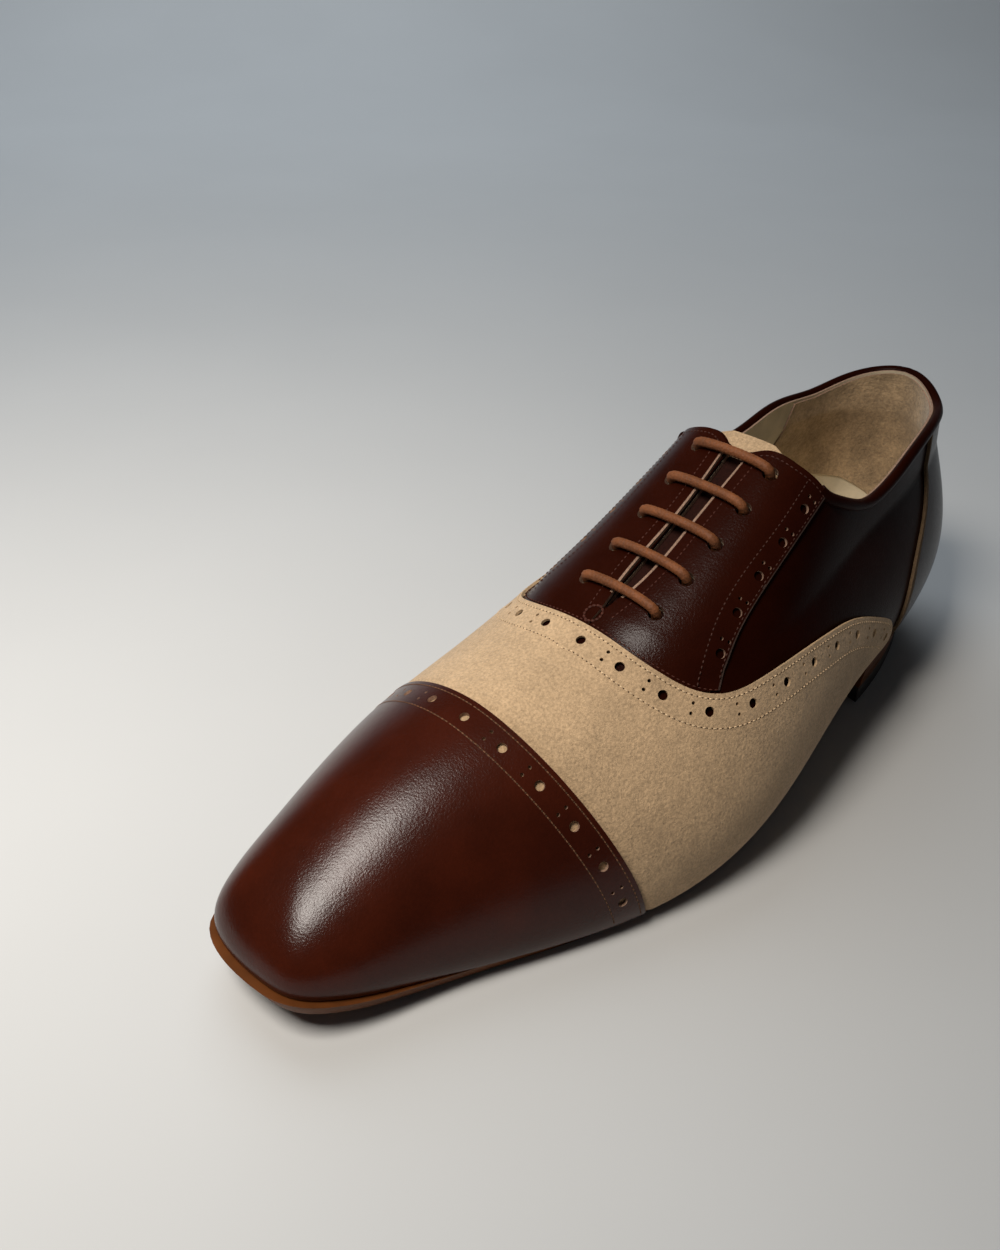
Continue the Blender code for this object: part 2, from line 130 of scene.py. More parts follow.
# First holes from the crest, by side
CAP_FIRST = {1: 1.5, -1: 12.5}
WING_FIRST = {1: 3.0, -1: 11.0}
# Widths of the facing's edge bands: the top edge burnished; by the gap a pale band, partly raw edge and
# partly painted highlight; at the rear a band, partly the cut edge's tone and partly painted highlight
TOP_BAND = 1.3
GAP_HIGHLIGHT_BAND = 0.5
REAR_BAND = 0.45
# A stitch's half height by its width, and the sizes of the vamp's and the tack's stitches by those
STITCH_HEIGHT = 0.42
VAMP_STITCH = (1.15, 1.4, 1)
TACK_STITCH = (2.0, 2.2, 1.3)
# Half sizes of the flat dark mark at a needle hole: painted shade of the hole
HOLE_SHADE_SIZE = (0.26 * MM, 0.06 * MM, 0.26 * MM)

# Sole, sock and heel
SOLE_THICK = 4.6
SOLE_BEVEL = 2.2
SEAM_GAP = 0.05
INSOLE_THICK = 3.0
INSOLE_LIFT = 0.3
INSOLE_INSET = 3.4
HEEL_BREAST = 72.0
BREAST_HOLLOW = 4.0
HEEL_LIFT = 6.0
HEEL_INSET = 0.4
HEEL_TAPER = 1.5
LIFTS = 3

# Camera: angles, what it looks at, its distance and a lens for a picture 1000 pixels wide
VIEW_AZIMUTH = math.radians(45.6)
VIEW_ELEVATION = math.radians(33.2)
VIEW_ROLL = math.radians(0.7)
VIEW_TARGET = Vector((-135.1, 64.0, -41.7))
VIEW_DISTANCE = 527.5
SENSOR = 36.0
FOCAL_LENGTH = 1163 * SENSOR / 1000
# Paper sweep in metres: half length, half width, where it bends and how far round
SWEEP_LENGTH = 3.5
SWEEP_WIDTH = 4.0
SWEEP_FLAT = 1.1
SWEEP_RADIUS = 0.9

# The last's feather line in plan: station, x
LATERAL = np.array([
    (300, 0), (299.4, 9), (297, 17.3), (290, 23), (272, 30), (246, 39.5), (218, 50), (190, 57),
    (160, 57.5), (128, 51), (95, 44), (60, 38.5), (30, 30), (10, 19), (0, 0)], float)
MEDIAL = np.array([
    (300, 0), (299.4, -7), (297, -13.5), (290, -19), (272, -27), (246, -37.5), (222, -44.5),
    (198, -45.5), (168, -40), (134, -31.5), (95, -27), (60, -27), (30, -25.5), (10, -18),
    (0, 0)], float)
# Feather's height over the floor: station, z
FLOOR = np.array([
    (0, 24), (50, 22.5), (90, 20), (130, 13.3), (165, 7.6), (195, 4.6), (225, 4.6), (255, 6.4),
    (280, 9.9), (300, 14.5)], float)
# Crest of the instep, carried on up the leg: station, z, x
CREST = np.array([
    (40, 170, 4), (65, 152, 6.5), (90, 130.5, 9), (112, 113, 11), (132, 99.5, 11.5),
    (152, 87, 11.3), (172, 75.5, 10.2), (192, 65.5, 8), (212, 59.3, 5.2), (235, 53.5, 2.2),
    (256, 46.5, -0.2), (278, 37, -2), (300, 27, -3.5)], float)
HEEL_CREST = 42.0
TOE_CREST = 278.0
# Roundness of the sections: station, power across, power upward
ROUND = np.array([
    (0, 2.6, 1.9), (60, 2.6, 1.9), (110, 3.0, 2.5), (150, 2.7, 2.4), (190, 2.1, 2.0),
    (240, 1.9, 1.9), (300, 2.2, 2.4)], float)
# How far the walls swell past the feather: station, lateral, medial
SWELL = np.array([
    (0, 6.4, 6.4), (40, 7.5, 6), (90, 7.4, 5), (130, 6.5, 4), (190, 4, 4), (240, 2.3, 2.3),
    (300, 1.7, 1.7)], float)
SWELL_HEIGHT = 55.0
# How far the outsole stands out from the feather: station, lateral, medial
SOLE_MARGIN = np.array([
    (0, 1, 1), (60, 0.8, 0.8), (110, 0, 0.2), (160, -0.8, 0.6), (205, -0.4, 1.4), (250, 0.8, 2.2),
    (285, 3, 3.2), (300, 3.6, 3.6)], float)
# Upper's top edge behind the throat: feather station, edge station, lateral rise, medial rise
TOP_EDGE = np.array([
    (178, 178, 1, 1), (172, 173, 0.985, 0.985), (150, 150, 0.985, 0.985),
    (130, 127, 0.985, 0.985), (125, 123.5, 0.978, 0.978), (120, 121, 0.93, 0.93),
    (114, 119.2, 0.80, 0.80), (109, 116.8, 0.69, 0.69), (104, 113.8, 0.585, 0.59),
    (97, 104, 0.465, 0.46), (86, 91, 0.38, 0.37), (73, 75, 0.353, 0.335),
    (59, 60, 0.352, 0.337), (45, 46, 0.345, 0.327), (30, 30, 0.325, 0.304),
    (16, 16, 0.30, 0.294), (7, 7, 0.29, 0.291), (0, 0, 0.289, 0.289)], float)
LAST_RANK = len(TOP_EDGE) - 1
# Cap's rear edge: station at the feather and how much farther forward it lies at the crest
CAP_FEATHER = 206.0
CAP_BOW = 16.0
# Vamp's wing line from the throat to the rounded end by the heel: station, rise
WING = np.array([
    (185, 1), (184, 0.8), (181, 0.67), (177.6, 0.59), (170, 0.5), (157, 0.425), (143, 0.356),
    (125, 0.27), (110, 0.21), (97, 0.16), (86, 0.123), (79, 0.09), (76, 0.055)], float)
# Facing's edges at its top, rear, front and lacing gap: station, rise
FACING_TOP = np.array([
    (124.5, 0.98), (122, 0.94), (120.6, 0.87), (119.4, 0.78), (117, 0.68), (115, 0.595)], float)
FACING_REAR = np.array([
    (115, 0.595), (133, 0.613), (149, 0.616), (160, 0.589), (170.5, 0.515)], float)
FACING_FRONT = np.array([
    (170.5, 0.515), (175, 0.555), (179.2, 0.605), (182.4, 0.68), (185, 0.8), (186.2, 0.9),
    (186.6, 0.996)], float)
FACING_GAP = np.array([
    (186.6, 0.996), (179, 0.995), (172, 0.985), (150, 0.985), (124.5, 0.98)], float)
FACING_STITCH = np.array([
    (119.5, 0.714), (134.2, 0.718), (150.9, 0.723), (162.9, 0.685), (175.6, 0.578)], float)
FACING_HOLES = np.array([
    (117, 0.64), (125.2, 0.659), (137.1, 0.663), (149.5, 0.666), (161, 0.628),
    (171.7, 0.556)], float)
# Counter's front edge: part of the wall's height, station
COUNTER_EDGE = np.array([(0, 69), (0.37, 65), (0.53, 57.5), (0.66, 47), (1, 38)], float)
# Tongue: station, half width, and the station from which its part in the lacing gap is painted dark as the
# gap's shade
TONGUE = np.array([(188, 13), (170, 16), (140, 19), (126, 20), (121, 17.5), (118.5, 8)], float)
GAP_SHADE_START = 124.0
# Heel grip inside: front edge by part of its height, lower edge by place along the feather
GRIP_EDGE = np.array([(0, 56), (0.5, 50), (1, 43.5)], float)
GRIP_LOW = np.array([(0.8, 0.45), (0.9, 0.42), (0.943, 0.34), (0.975, 0.23), (1, 0.17)], float)


# The last

def spline(rows, place):
    """Natural cubic spline through a table whose first column is the place."""
    knots = rows[:, 0]
    values = rows[:, 1:]
    step = np.diff(knots)
    count = len(knots)
    system = np.eye(count)
    right = np.zeros_like(values)
    for i in range(1, count - 1):
        system[i, i - 1:i + 2] = (step[i - 1], 2 * (step[i - 1] + step[i]), step[i])
        ahead = (values[i + 1] - values[i]) / step[i]
        right[i] = 6 * (ahead - (values[i] - values[i - 1]) / step[i - 1])
    bend = np.linalg.solve(system, right)
    place = np.clip(np.asarray(place, float), knots[0], knots[-1])
    i = np.clip(np.searchsorted(knots, place) - 1, 0, count - 2)
    width = step[i][..., None]
    far = ((place - knots[i]) / step[i])[..., None]
    near = 1 - far
    curve = (near ** 3 - near) * bend[i] + (far ** 3 - far) * bend[i + 1]
    return near * values[i] + far * values[i + 1] + width ** 2 / 6 * curve


def lengths(points):
    """Distances along a line of points."""
    return np.concatenate([[0], np.cumsum(np.linalg.norm(np.diff(points, axis=0), axis=1))])


def path(rows, part):
    """Smooth path through stations and rises in order, from part 0 to part 1."""
    along = lengths(rows * (1, WALL_HEIGHT))
    return spline(np.column_stack([along / along[-1], rows]), part)


def feather(side, s):
    """Station and x on the feather line, s 0 at the toe tip and 1 at the heel back."""
    rows = LATERAL if side > 0 else MEDIAL
    across = np.array([1, -1])
    loop = np.concatenate([rows[3:0:-1] * across, rows, rows[-2:-5:-1] * across])
    along = lengths(loop)
    toe = along[3]
    heel = along[2 + len(rows)]
    return spline(np.column_stack([along, loop]), toe + (heel - toe) * np.asarray(s, float))


def s_at(side, station):
    """Place along the feather line at a station."""
    s = np.linspace(0, 1, 1200)
    return np.interp(station, feather(side, s)[::-1, 0], s[::-1])


def last_station(side, s):
    """Station of the feather at a place."""
    return feather(side, s)[..., 0]


def same_stations(side, s):
    """Places on one side that lie at the stations of the lateral side's places."""
    return s if side > 0 else s_at(side, last_station(1, s))


def soft_limit(value, low, high, ease=6.0):
    """Value eased so that it never passes the two limits."""
    raised = low + ease * np.logaddexp(0, (value - low) / ease)
    return high - ease * np.logaddexp(0, (high - raised) / ease)


def last_point(side, s, rise):
    """Station, x and z on the last's surface."""
    s, rise = np.broadcast_arrays(np.asarray(s, float), np.asarray(rise, float))
    foot = feather(side, s)
    station = foot[..., 0]
    top = soft_limit(station, HEEL_CREST, TOE_CREST)
    low = spline(FLOOR, station)[..., 0]
    crest = spline(CREST, top)
    slope = (spline(CREST, top + 0.5) - spline(CREST, top - 0.5))[..., 0]
    power = spline(ROUND, station)
    swell = spline(SWELL, station)[..., 0 if side > 0 else 1]
    turn = rise * np.pi / 2
    inward = 1 - np.cos(turn) ** (2 / power[..., 0])
    upward = np.sin(turn) ** (2 / power[..., 1])
    run_a = top - station
    run_x = crest[..., 1] - foot[..., 1]
    run = np.hypot(run_a, run_x) + 1e-9
    tilt = slope * run_a
    z = low + (crest[..., 0] - low - tilt) * upward + tilt * inward
    part = np.clip((z - low) / np.minimum(SWELL_HEIGHT, crest[..., 0] - low), 0, 1)
    out = swell * np.sin(np.pi * part ** 0.75)
    return np.stack([station + run_a * (inward - out / run),
                     foot[..., 1] + run_x * (inward - out / run), z], -1)


def last_normal(side, s, rise):
    """Outward direction, upright at the crest and level at the feather."""
    small = 0.002
    s, rise = np.broadcast_arrays(np.asarray(s, float), np.asarray(rise, float))
    below = np.clip(rise - small, 0, 1)
    above = np.clip(rise + small, 0, 1)
    along = last_point(side, s + small, rise) - last_point(side, s - small, rise)
    upward = last_point(side, s, above) - last_point(side, s, below)
    normal = np.cross(along, upward) * side
    station = last_point(side, s, np.ones_like(rise))[..., 0]
    slope = (spline(CREST, station + 0.5) - spline(CREST, station - 0.5))[..., 0]
    crown = np.stack([-slope, np.zeros_like(slope), np.ones_like(slope)], -1)
    normal = np.where(rise[..., None] > 0.9999, crown, normal)
    height = last_point(side, s, rise)[..., 2] - last_point(side, s, 0 * rise)[..., 2]
    normal[..., 2] *= np.clip(height / 10, 0, 1)
    return normal / np.linalg.norm(normal, axis=-1, keepdims=True)


def world(points):
    """World metres from stations, x and z in millimetres."""
    return np.stack([points[..., 1] - MID_X, MID_STATION - points[..., 0], points[..., 2]], -1) * MM


def skin(side, s, rise, height):
    """World points at a height over the last's surface."""
    height = np.asarray(height)[..., None]
    return world(last_point(side, s, rise) + last_normal(side, s, rise) * height)


def world_normal(side, s, rise):
    """Outward direction in the world."""
    normal = last_normal(side, s, rise)
    return np.stack([normal[..., 1], -normal[..., 0], normal[..., 2]], -1)


def slide(side, s, rise, move):
    """s and rise after a small move over the last's surface."""
    small = 0.002
    above = np.minimum(rise + small, 1)
    below = np.maximum(rise - small, 0)
    by_s = (last_point(side, s + small, rise) - last_point(side, s - small, rise)) / (2 * small)
    by_rise = (last_point(side, s, above) - last_point(side, s, below)) / (above - below)[..., None]
    a, b, c = (by_s ** 2).sum(-1), (by_s * by_rise).sum(-1), (by_rise ** 2).sum(-1)
    p, q = (by_s * move).sum(-1), (by_rise * move).sum(-1)
    room = a * c - b * b
    return s + (c * p - b * q) / room, np.clip(rise + (a * q - b * p) / room, 0, 1)


def inset(side, s, rise, distance, steps=4):
    """Line on the last moved square to itself, to the right as seen on the lateral side."""
    for _ in range(steps):
        along = np.gradient(last_point(side, s, rise), axis=0)
        along /= np.linalg.norm(along, axis=-1, keepdims=True)
        move = np.cross(along, last_normal(side, s, rise)) * (side * distance / steps)
        s, rise = slide(side, s, rise, move)
    return s, rise


def ease(value):
    """Smooth step from 0 to 1."""
    value = np.clip(value, 0, 1)
    return value * value * (3 - 2 * value)


def cap_station(rise):
    """Station of the cap's rear edge."""
    return CAP_FEATHER + CAP_BOW * np.sin(rise * np.pi / 2)


def beside_crest(side, station, reach):
    """s and rise at a distance from the crest on one side."""
    s = s_at(side, station)
    rise = np.linspace(0.5, 1, 300)
    across = np.abs(last_point(side, s, rise)[:, 1] - last_point(side, s, 1)[1])
    return s, np.interp(-reach, -across, rise)


def collar_rise(side, s):
    """Rise of the collar's edge at a place."""
    edge = TOP_EDGE[::-1]
    return np.interp(last_station(side, s), edge[:, 1], edge[:, 2 if side > 0 else 3])


def eyelet(side, row):
    """s and rise of an eyelet's middle."""
    return beside_crest(side, FIRST_ROW - ROW_STEP * row, EYELET_REACH)


# Meshes

def lay(bm, along, across, place):
    """Grid of faces, each corner laid by a function of its parts along and across."""
    made = bmesh.ops.create_grid(bm, x_segments=along, y_segments=across, size=1)["verts"]
    flat = np.array([vert.co for vert in made])
    for vert, point in zip(made, place((flat[:, 0] + 1) / 2, (flat[:, 1] + 1) / 2)):
        vert.co = point


def weld(bm):
    """Close the seams between grids and turn the faces outwards."""
    bmesh.ops.remove_doubles(bm, verts=bm.verts, dist=WELD)
    bmesh.ops.dissolve_degenerate(bm, edges=bm.edges, dist=WELD)
    bmesh.ops.recalc_face_normals(bm, faces=bm.faces)
    bm.normal_update()
    outward = 0
    for face in bm.faces:
        middle = face.calc_center_median()
        outward += face.normal.x * (middle.x - HEART[0]) + face.normal.z * (middle.z - HEART[1])
    if outward < 0:
        bmesh.ops.reverse_faces(bm, faces=bm.faces)


def sheet(*grids, sides=(1, -1)):
    """Layer on the last, from grids: faces along and across, and a function of the side and the parts."""
    bm = bmesh.new()
    for side in sides:
        for along, across, place in grids:
            lay(bm, along, across, lambda u, v: place(side, u, v))
    weld(bm)
    return bm


def join(bm, part):
    """Move the faces of one bmesh into another."""
    mesh = bpy.data.meshes.new("part")
    part.to_mesh(mesh)
    part.free()
    bm.from_mesh(mesh)
    bpy.data.meshes.remove(mesh)


def tube(bm, middle, sideways, upward, width, height, around, ripple=None):
    """Closed rod along a line of points, oval in section."""
    count = len(middle) - 1

    def place(u, v):
        i = np.rint(u * count).astype(int)
        turn = v * 2 * np.pi
        swell = 1 if ripple is None else ripple(u, turn)
        return (middle[i] + sideways[i] * (np.cos(turn) * width * swell)[:, None]
                + upward[i] * (np.sin(turn) * height * swell)[:, None])

    lay(bm, count, around, place)
    bmesh.ops.remove_doubles(bm, verts=bm.verts, dist=WELD)
    bmesh.ops.holes_fill(bm, edges=[edge for edge in bm.edges if edge.is_boundary], sides=0)
    bmesh.ops.dissolve_degenerate(bm, edges=bm.edges, dist=WELD)
    bmesh.ops.recalc_face_normals(bm, faces=bm.faces)


def headings(points):
    """Direction along a line of points."""
    along = np.gradient(points, axis=0)
    return along / np.linalg.norm(along, axis=-1, keepdims=True)


def places(side, s, rise, height, first, pitch, keep=0.0):
    """Points, directions and normals at even steps along a line on the last, in millimetres."""
    points = skin(side, s, rise, height)
    along = lengths(points) / MM
    at = np.arange(first, along[-1] - keep, pitch)
    normals = world_normal(side, s, rise)
    directions = headings(points)
    return [np.stack([np.interp(at, along, rows[:, i]) for i in range(3)], -1)
            for rows in (points, directions, normals)]


def seat(point, direction, normal, sizes):
    """Matrix that seats a shape on a surface: local z along, y out."""
    z = Vector(direction).normalized()
    y = Vector(normal)
    y = (y - z * y.dot(z)).normalized()
    x = y.cross(z)
    matrix = Matrix((x * sizes[0], y * sizes[1], z * sizes[2])).transposed().to_4x4()
    matrix.translation = Vector(point)
    return matrix


def sew(bm, rows, scale=(1, 1, 1)):
    """A stitch at each place."""
    sizes = bpy.context.scene.shoe_sizes
    width = sizes.stitch_width
    half = np.array((width / 2, width * STITCH_HEIGHT, sizes.stitch_length / 2)) * scale
    for point, direction, normal in zip(*rows):
        bmesh.ops.create_uvsphere(bm, u_segments=6, v_segments=5, radius=1,
                                  matrix=seat(point, direction, normal, half))


def mark_hole_shade(bm, rows):
    """A flat dark mark at each place: painted shade of a needle hole."""
    for point, direction, normal in zip(*rows):
        bmesh.ops.create_uvsphere(bm, u_segments=6, v_segments=4, radius=1,
                                  matrix=seat(point, direction, normal, HOLE_SHADE_SIZE))


def drill(bm, point, normal, radius, segments, depth=8 * MM):
    """One punch, square to the surface."""
    turn = Vector((0, 0, 1)).rotation_difference(Vector(normal)).to_matrix().to_4x4()
    turn.translation = Vector(point)
    made = bmesh.ops.create_cone(bm, cap_ends=True, segments=segments, radius1=radius,
                                 radius2=radius, depth=depth, matrix=turn)
    for face in {face for vert in made["verts"] for face in vert.link_faces}:
        face.material_index = HOLE


def punch_eyelets(bm, side, height, segments, depth):
    """The eyelets of one side."""
    radius = bpy.context.scene.shoe_sizes.eyelet_radius
    for row in range(EYELET_ROWS):
        s, rise = eyelet(side, row)
        middle = skin(side, s, rise, height)
        drill(bm, middle, world_normal(side, s, rise), radius, segments, depth * MM)


def punch_row(bm, side, s, rise, height, first, pitch, spread, lead, keep=2.0):
    """Row of holes along a line, each with a pair of pinholes beside it."""
    sizes = bpy.context.scene.shoe_sizes
    for point, _, normal in zip(*places(side, s, rise, height, first, pitch, keep)):
        drill(bm, point, normal, sizes.punch_radius, 18)
    start = first + lead
    if start < 0:
        start %= pitch
    for point, along, normal in zip(*places(side, s, rise, height, start, pitch, keep)):
        across = np.cross(normal, along)
        for way in (1, -1):
            drill(bm, point + across * (way * spread * MM), normal, sizes.pin_radius, 8)


def add_object(name, bm):
    """Object made from a bmesh."""
    mesh = bpy.data.meshes.new(name)
    bm.to_mesh(mesh)
    bm.free()
    thing = bpy.data.objects.new(name, mesh)
    bpy.context.scene.collection.objects.link(thing)
    return thing


def make_piece(name, bm, finishes, nodes, wall=0.0, punches=None):
    """Finished piece: thickness, punched holes, shading, and its place in the frame."""
    piece = add_object(name, bm)
    for finish_name in finishes:
        piece.data.materials.append(material(finish_name))
    if wall:
        solid = piece.modifiers.new("wall", "SOLIDIFY")
        solid.thickness = wall
        solid.offset = -1
        solid.material_offset_rim = RIM
    if punches:
        cut = piece.modifiers.new("holes", "BOOLEAN")
        cut.operation = "DIFFERENCE"
        cut.solver = "EXACT"
        cut.object = punches
    if wall or punches:
        bpy.context.view_layer.update()
        graph = bpy.context.evaluated_depsgraph_get()
        piece.data = bpy.data.meshes.new_from_object(piece.evaluated_get(graph))
        piece.data.name = name
        piece.modifiers.clear()
    if punches:
        bpy.data.objects.remove(punches)
    if not len(piece.data.polygons):
        raise RuntimeError(f"{name} has no faces")
    piece.data.shade_smooth()
    piece.data.set_sharp_from_angle(angle=math.radians(38))
    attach(piece, "root")
    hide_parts(*nodes)
    return piece


# Finishes

def node(made, kind, **values):
    """Node with its plain values set."""
    new = made.node_tree.nodes.new(kind)
    for key, value in values.items():
        setattr(new, key, value)
    return new


def noise(made, size, detail=3.0, rough=0.5, stretch=None):
    """Noise in the piece's own coordinates, with features of about a size in millimetres."""
    links = made.node_tree.links
    source = node(made, "ShaderNodeTexCoord").outputs["Object"]
    if stretch:
        turn = node(made, "ShaderNodeMapping")
        turn.inputs["Scale"].default_value = stretch
        links.new(source, turn.inputs["Vector"])
        source = turn.outputs["Vector"]
    texture = node(made, "ShaderNodeTexNoise")
    links.new(source, texture.inputs["Vector"])
    texture.inputs["Scale"].default_value = 1 / (size * MM)
    texture.inputs["Detail"].default_value = detail
    texture.inputs["Roughness"].default_value = rough
    return texture.outputs["Fac"]


def shade(colour, part):
    """Colour made darker or lighter."""
    return tuple(min(1, value * part) for value in colour)


def tint(made, amount, colour, dark, light, low=0.35, high=0.65):
    """Colour between a dark and a light shade of it."""
    ramp = node(made, "ShaderNodeValToRGB")
    first, second = ramp.color_ramp.elements
    first.position, first.color = low, (*shade(colour, dark), 1)
    second.position, second.color = high, (*shade(colour, light), 1)
    made.node_tree.links.new(amount, ramp.inputs["Fac"])
    return ramp.outputs["Color"]


def mottle(made, amount, clouds, colour, dark, light, low=0.35, high=0.65):
    """Colour mixed from two dark shades and two light ones, each pair clouded."""
    new = node(made, "ShaderNodeMix", data_type="RGBA")
    links = made.node_tree.links
    links.new(amount, new.inputs["Factor"])
    links.new(tint(made, clouds, colour, *dark, low, high), new.inputs[6])
    links.new(tint(made, clouds, colour, *light, low, high), new.inputs[7])
    return new.outputs[2]


def nap(made, size):
    """Short fibres of about a size, black to white."""
    return tint(made, noise(made, size, 4, 0.7), (1, 1, 1), 0, 1, 0.36, 0.64)


def bump(made, height, depth, under=None):
    """Relief of a depth in millimetres, over another if there is one."""
    new = node(made, "ShaderNodeBump")
    links = made.node_tree.links
    new.inputs["Distance"].default_value = depth * MM
    new.inputs["Strength"].default_value = 1.0
    links.new(height, new.inputs["Height"])
    if under:
        links.new(under, new.inputs["Normal"])
    return new.outputs["Normal"]


def finish(made, colour, normal, roughness, **sockets):
    """Links the colour and the relief of a finish and sets its plain values."""
    shader = made.node_tree.nodes["Principled BSDF"]
    made.node_tree.links.new(colour, shader.inputs["Base Color"])
    if normal:
        made.node_tree.links.new(normal, shader.inputs["Normal"])
    shader.inputs["Roughness"].default_value = roughness
    for key, value in sockets.items():
        shader.inputs[key.replace("_", " ").title().replace("Ior", "IOR")].default_value = value


def polished_leather(made, colour, part, gloss, rough):
    """Waxed calf: fine grain, clouded colour and a soft polish."""
    base = mottle(made, noise(made, 1.0, 4, 0.6), noise(made, 26, 3, 0.6), shade(colour, part),
                  (0.6, 0.9), (0.95, 1.35))
    relief = bump(made, noise(made, 0.6, 3, 0.6), 0.072, bump(made, noise(made, 6, 3), 0.05))
    finish(made, base, relief, rough, specular_ior_level=gloss)


def suede(made, colour):
    """Napped suede: short fibres, brushed patches and a soft sheen."""
    base = mottle(made, nap(made, 0.85), noise(made, 17, 5, 0.65), colour, (0.66, 0.84), (1.04, 1.27),
                  0.32, 0.68)
    relief = bump(made, noise(made, 0.95, 4, 0.7), 0.42, bump(made, noise(made, 4, 3), 0.4))
    finish(made, base, relief, 0.95, specular_ior_level=0.1, sheen_weight=0.2, sheen_roughness=0.5)


def raw_edge(made, colour):
    """Cut edge of leather, pale and fibrous."""
    fibres = noise(made, 0.6, 3, 0.6)
    finish(made, tint(made, fibres, colour, 0.7, 1.2), bump(made, fibres, 0.1), 0.8, specular_ior_level=0.1)


def thread(made, colour):
    """Waxed sewing thread."""
    twist = noise(made, 0.5, 2, 0.5)
    finish(made, tint(made, twist, colour, 0.6, 1.25), bump(made, twist, 0.06), 0.6, specular_ior_level=0.15)


def waxed_cord(made, colour):
    """Waxed round lace; its colour is flecked light and dark at the braid's scale, painted highlight and
    shade of the strands, not placed on the crowns.
    """
    braid_relief_and_shade = noise(made, 0.7, 3, 0.6)
    base = mottle(made, braid_relief_and_shade, noise(made, 6, 2, 0.5), colour, (0.35, 0.6), (1.25, 1.75))
    finish(made, base, bump(made, braid_relief_and_shade, 0.3), 0.6, specular_ior_level=0.35)


def smooth_lining(made, colour):
    """Lining leather: matt, slightly creased and toned."""
    base = tint(made, noise(made, 18, 4, 0.6), colour, 0.8, 1.12)
    finish(made, base, bump(made, noise(made, 0.9, 3), 0.05, bump(made, noise(made, 9, 2), 0.25)), 0.62)


def napped_lining(made, colour):
    """Heel lining with its rough side out, rubbed in patches."""
    base = mottle(made, nap(made, 1.1), noise(made, 11, 5, 0.65), colour, (0.5, 0.9), (0.85, 1.35))
    relief = bump(made, noise(made, 1.1, 4, 0.7), 0.45)
    finish(made, base, relief, 0.95, specular_ior_level=0.1, sheen_weight=0.2)


def sole_leather(made, colour):
    """Burnished sole leather with its layers running along the edge."""
    layers = noise(made, 1.6, 4, 0.6, (0.08, 0.08, 1.6))
    base = mottle(made, layers, noise(made, 16, 3, 0.6), colour, (0.6, 0.95), (0.95, 1.5))
    finish(made, base, bump(made, layers, 0.08), 0.5, specular_ior_level=0.15)


def moulded_rubber(made, colour):
    """Matt rubber."""
    fine = noise(made, 0.7, 3, 0.6)
    finish(made, tint(made, fine, colour, 0.8, 1.4), bump(made, fine, 0.08), 0.65)


def studio_paper(made, colour):
    """Plain pale floor."""
    base = tint(made, noise(made, 180, 3, 0.5), colour, 0.985, 1.01)
    finish(made, base, None, 0.85, specular_ior_level=0.2)


# Finish: how it is made and which colour it takes; for calf also its shade, gloss and roughness
RECIPES = {
    "cap_polish": (polished_leather, "brown", 1.0, 0.24, 0.22),
    # Facings, quarters, collar and counter take darker copies of the cap's brown: painted shade of the same
    # leather lying more in shade
    "facing_polish": (polished_leather, "brown", 0.55, 0.1, 0.22),
    "quarter_polish": (polished_leather, "brown", 0.36, 0.022, 0.3),
    "counter_polish": (polished_leather, "brown", 0.36, 0.035, 0.22),
    # The dark edge finish is the burnished edges' own colour, and on the tongue it is painted shade of the
    # lacing gap
    "leather_edge": (raw_edge, "dark_edge"),
    "vamp_nap": (suede, "suede"),
    "suede_edge": (raw_edge, "suede"),
    "pale_edge": (raw_edge, "pale_edge"),
    # Rear band of the facings: partly the cut edge's tone, partly a painted highlight of the edge catching
    # light
    "worn_edge": (raw_edge, "worn_edge"),
    "frayed_edge": (raw_edge, "frayed_edge"),
    "tan_thread": (thread, "tan_thread"),
    "beige_thread": (thread, "beige_thread"),
    "needle_hole": (raw_edge, "needle_hole"),
    "rose_thread": (thread, "rose_thread"),
    "red_thread": (thread, "red_thread"),
    "lace_cord": (waxed_cord, "lace"),
    "lining_calf": (smooth_lining, "lining"),
    "heel_nap": (napped_lining, "grip"),
    "sock_calf": (smooth_lining, "sock"),
    "sole_edge": (sole_leather, "sole"),
    "matt_rubber": (moulded_rubber, "rubber"),
    "floor_paper": (studio_paper, "floor"),
}


def material(name):
    """Finish by name, made when it is first asked for."""
    if name not in bpy.data.materials:
        recipe, colour, *values = RECIPES[name]
        made = bpy.data.materials.new(name)
        made.use_nodes = True
        recipe(made, tuple(getattr(bpy.context.scene.shoe_colours, colour)), *values)
    return bpy.data.materials[name]


# What a user would change

def size(name, text, value):
    """Length in metres from millimetres."""
    return FloatProperty(name=name, description=text, default=value * MM, min=0, unit="LENGTH")


def colour(name, text, value):
    """Linear colour."""
    return FloatVectorProperty(name=name, description=text, default=value, min=0, max=1, size=3,
                               subtype="COLOR")


class ShoeSizes(bpy.types.PropertyGroup):
    """Sizes of the stitching, punching and layers."""
    stitch_length: size("Stitch length", "Length of one stitch", 1.0)
    stitch_width: size("Stitch width", "Width of one stitch", 0.42)
    stitch_pitch: size("Stitch pitch", "Step from one stitch to the next", 1.6)
    punch_radius: size("Punch radius", "Radius of the larger holes", 1.45)
    pin_radius: size("Pin radius", "Radius of the pinholes", 0.55)
    punch_pitch: size("Punch pitch", "Step from one larger hole to the next", 14.0)
    eyelet_radius: size("Eyelet radius", "Radius of the lacing holes", 2.3)
    lace_radius: size("Lace radius", "Radius of the round lace", 1.45)
    cap_wall: size("Cap thickness", "Thickness of the toe cap's leather", 1.2)
    suede_wall: size("Suede thickness", "Thickness of the vamp's suede", 0.85)
    facing_wall: size("Facing thickness", "Thickness of the facings' leather", 1.0)
    quarter_wall: size("Quarter thickness", "Thickness of the quarters' leather", 0.9)
    lining_wall: size("Lining thickness", "Thickness of the lining", 1.05)
    tongue_wall: size("Tongue thickness", "Thickness of the tongue", 1.8)


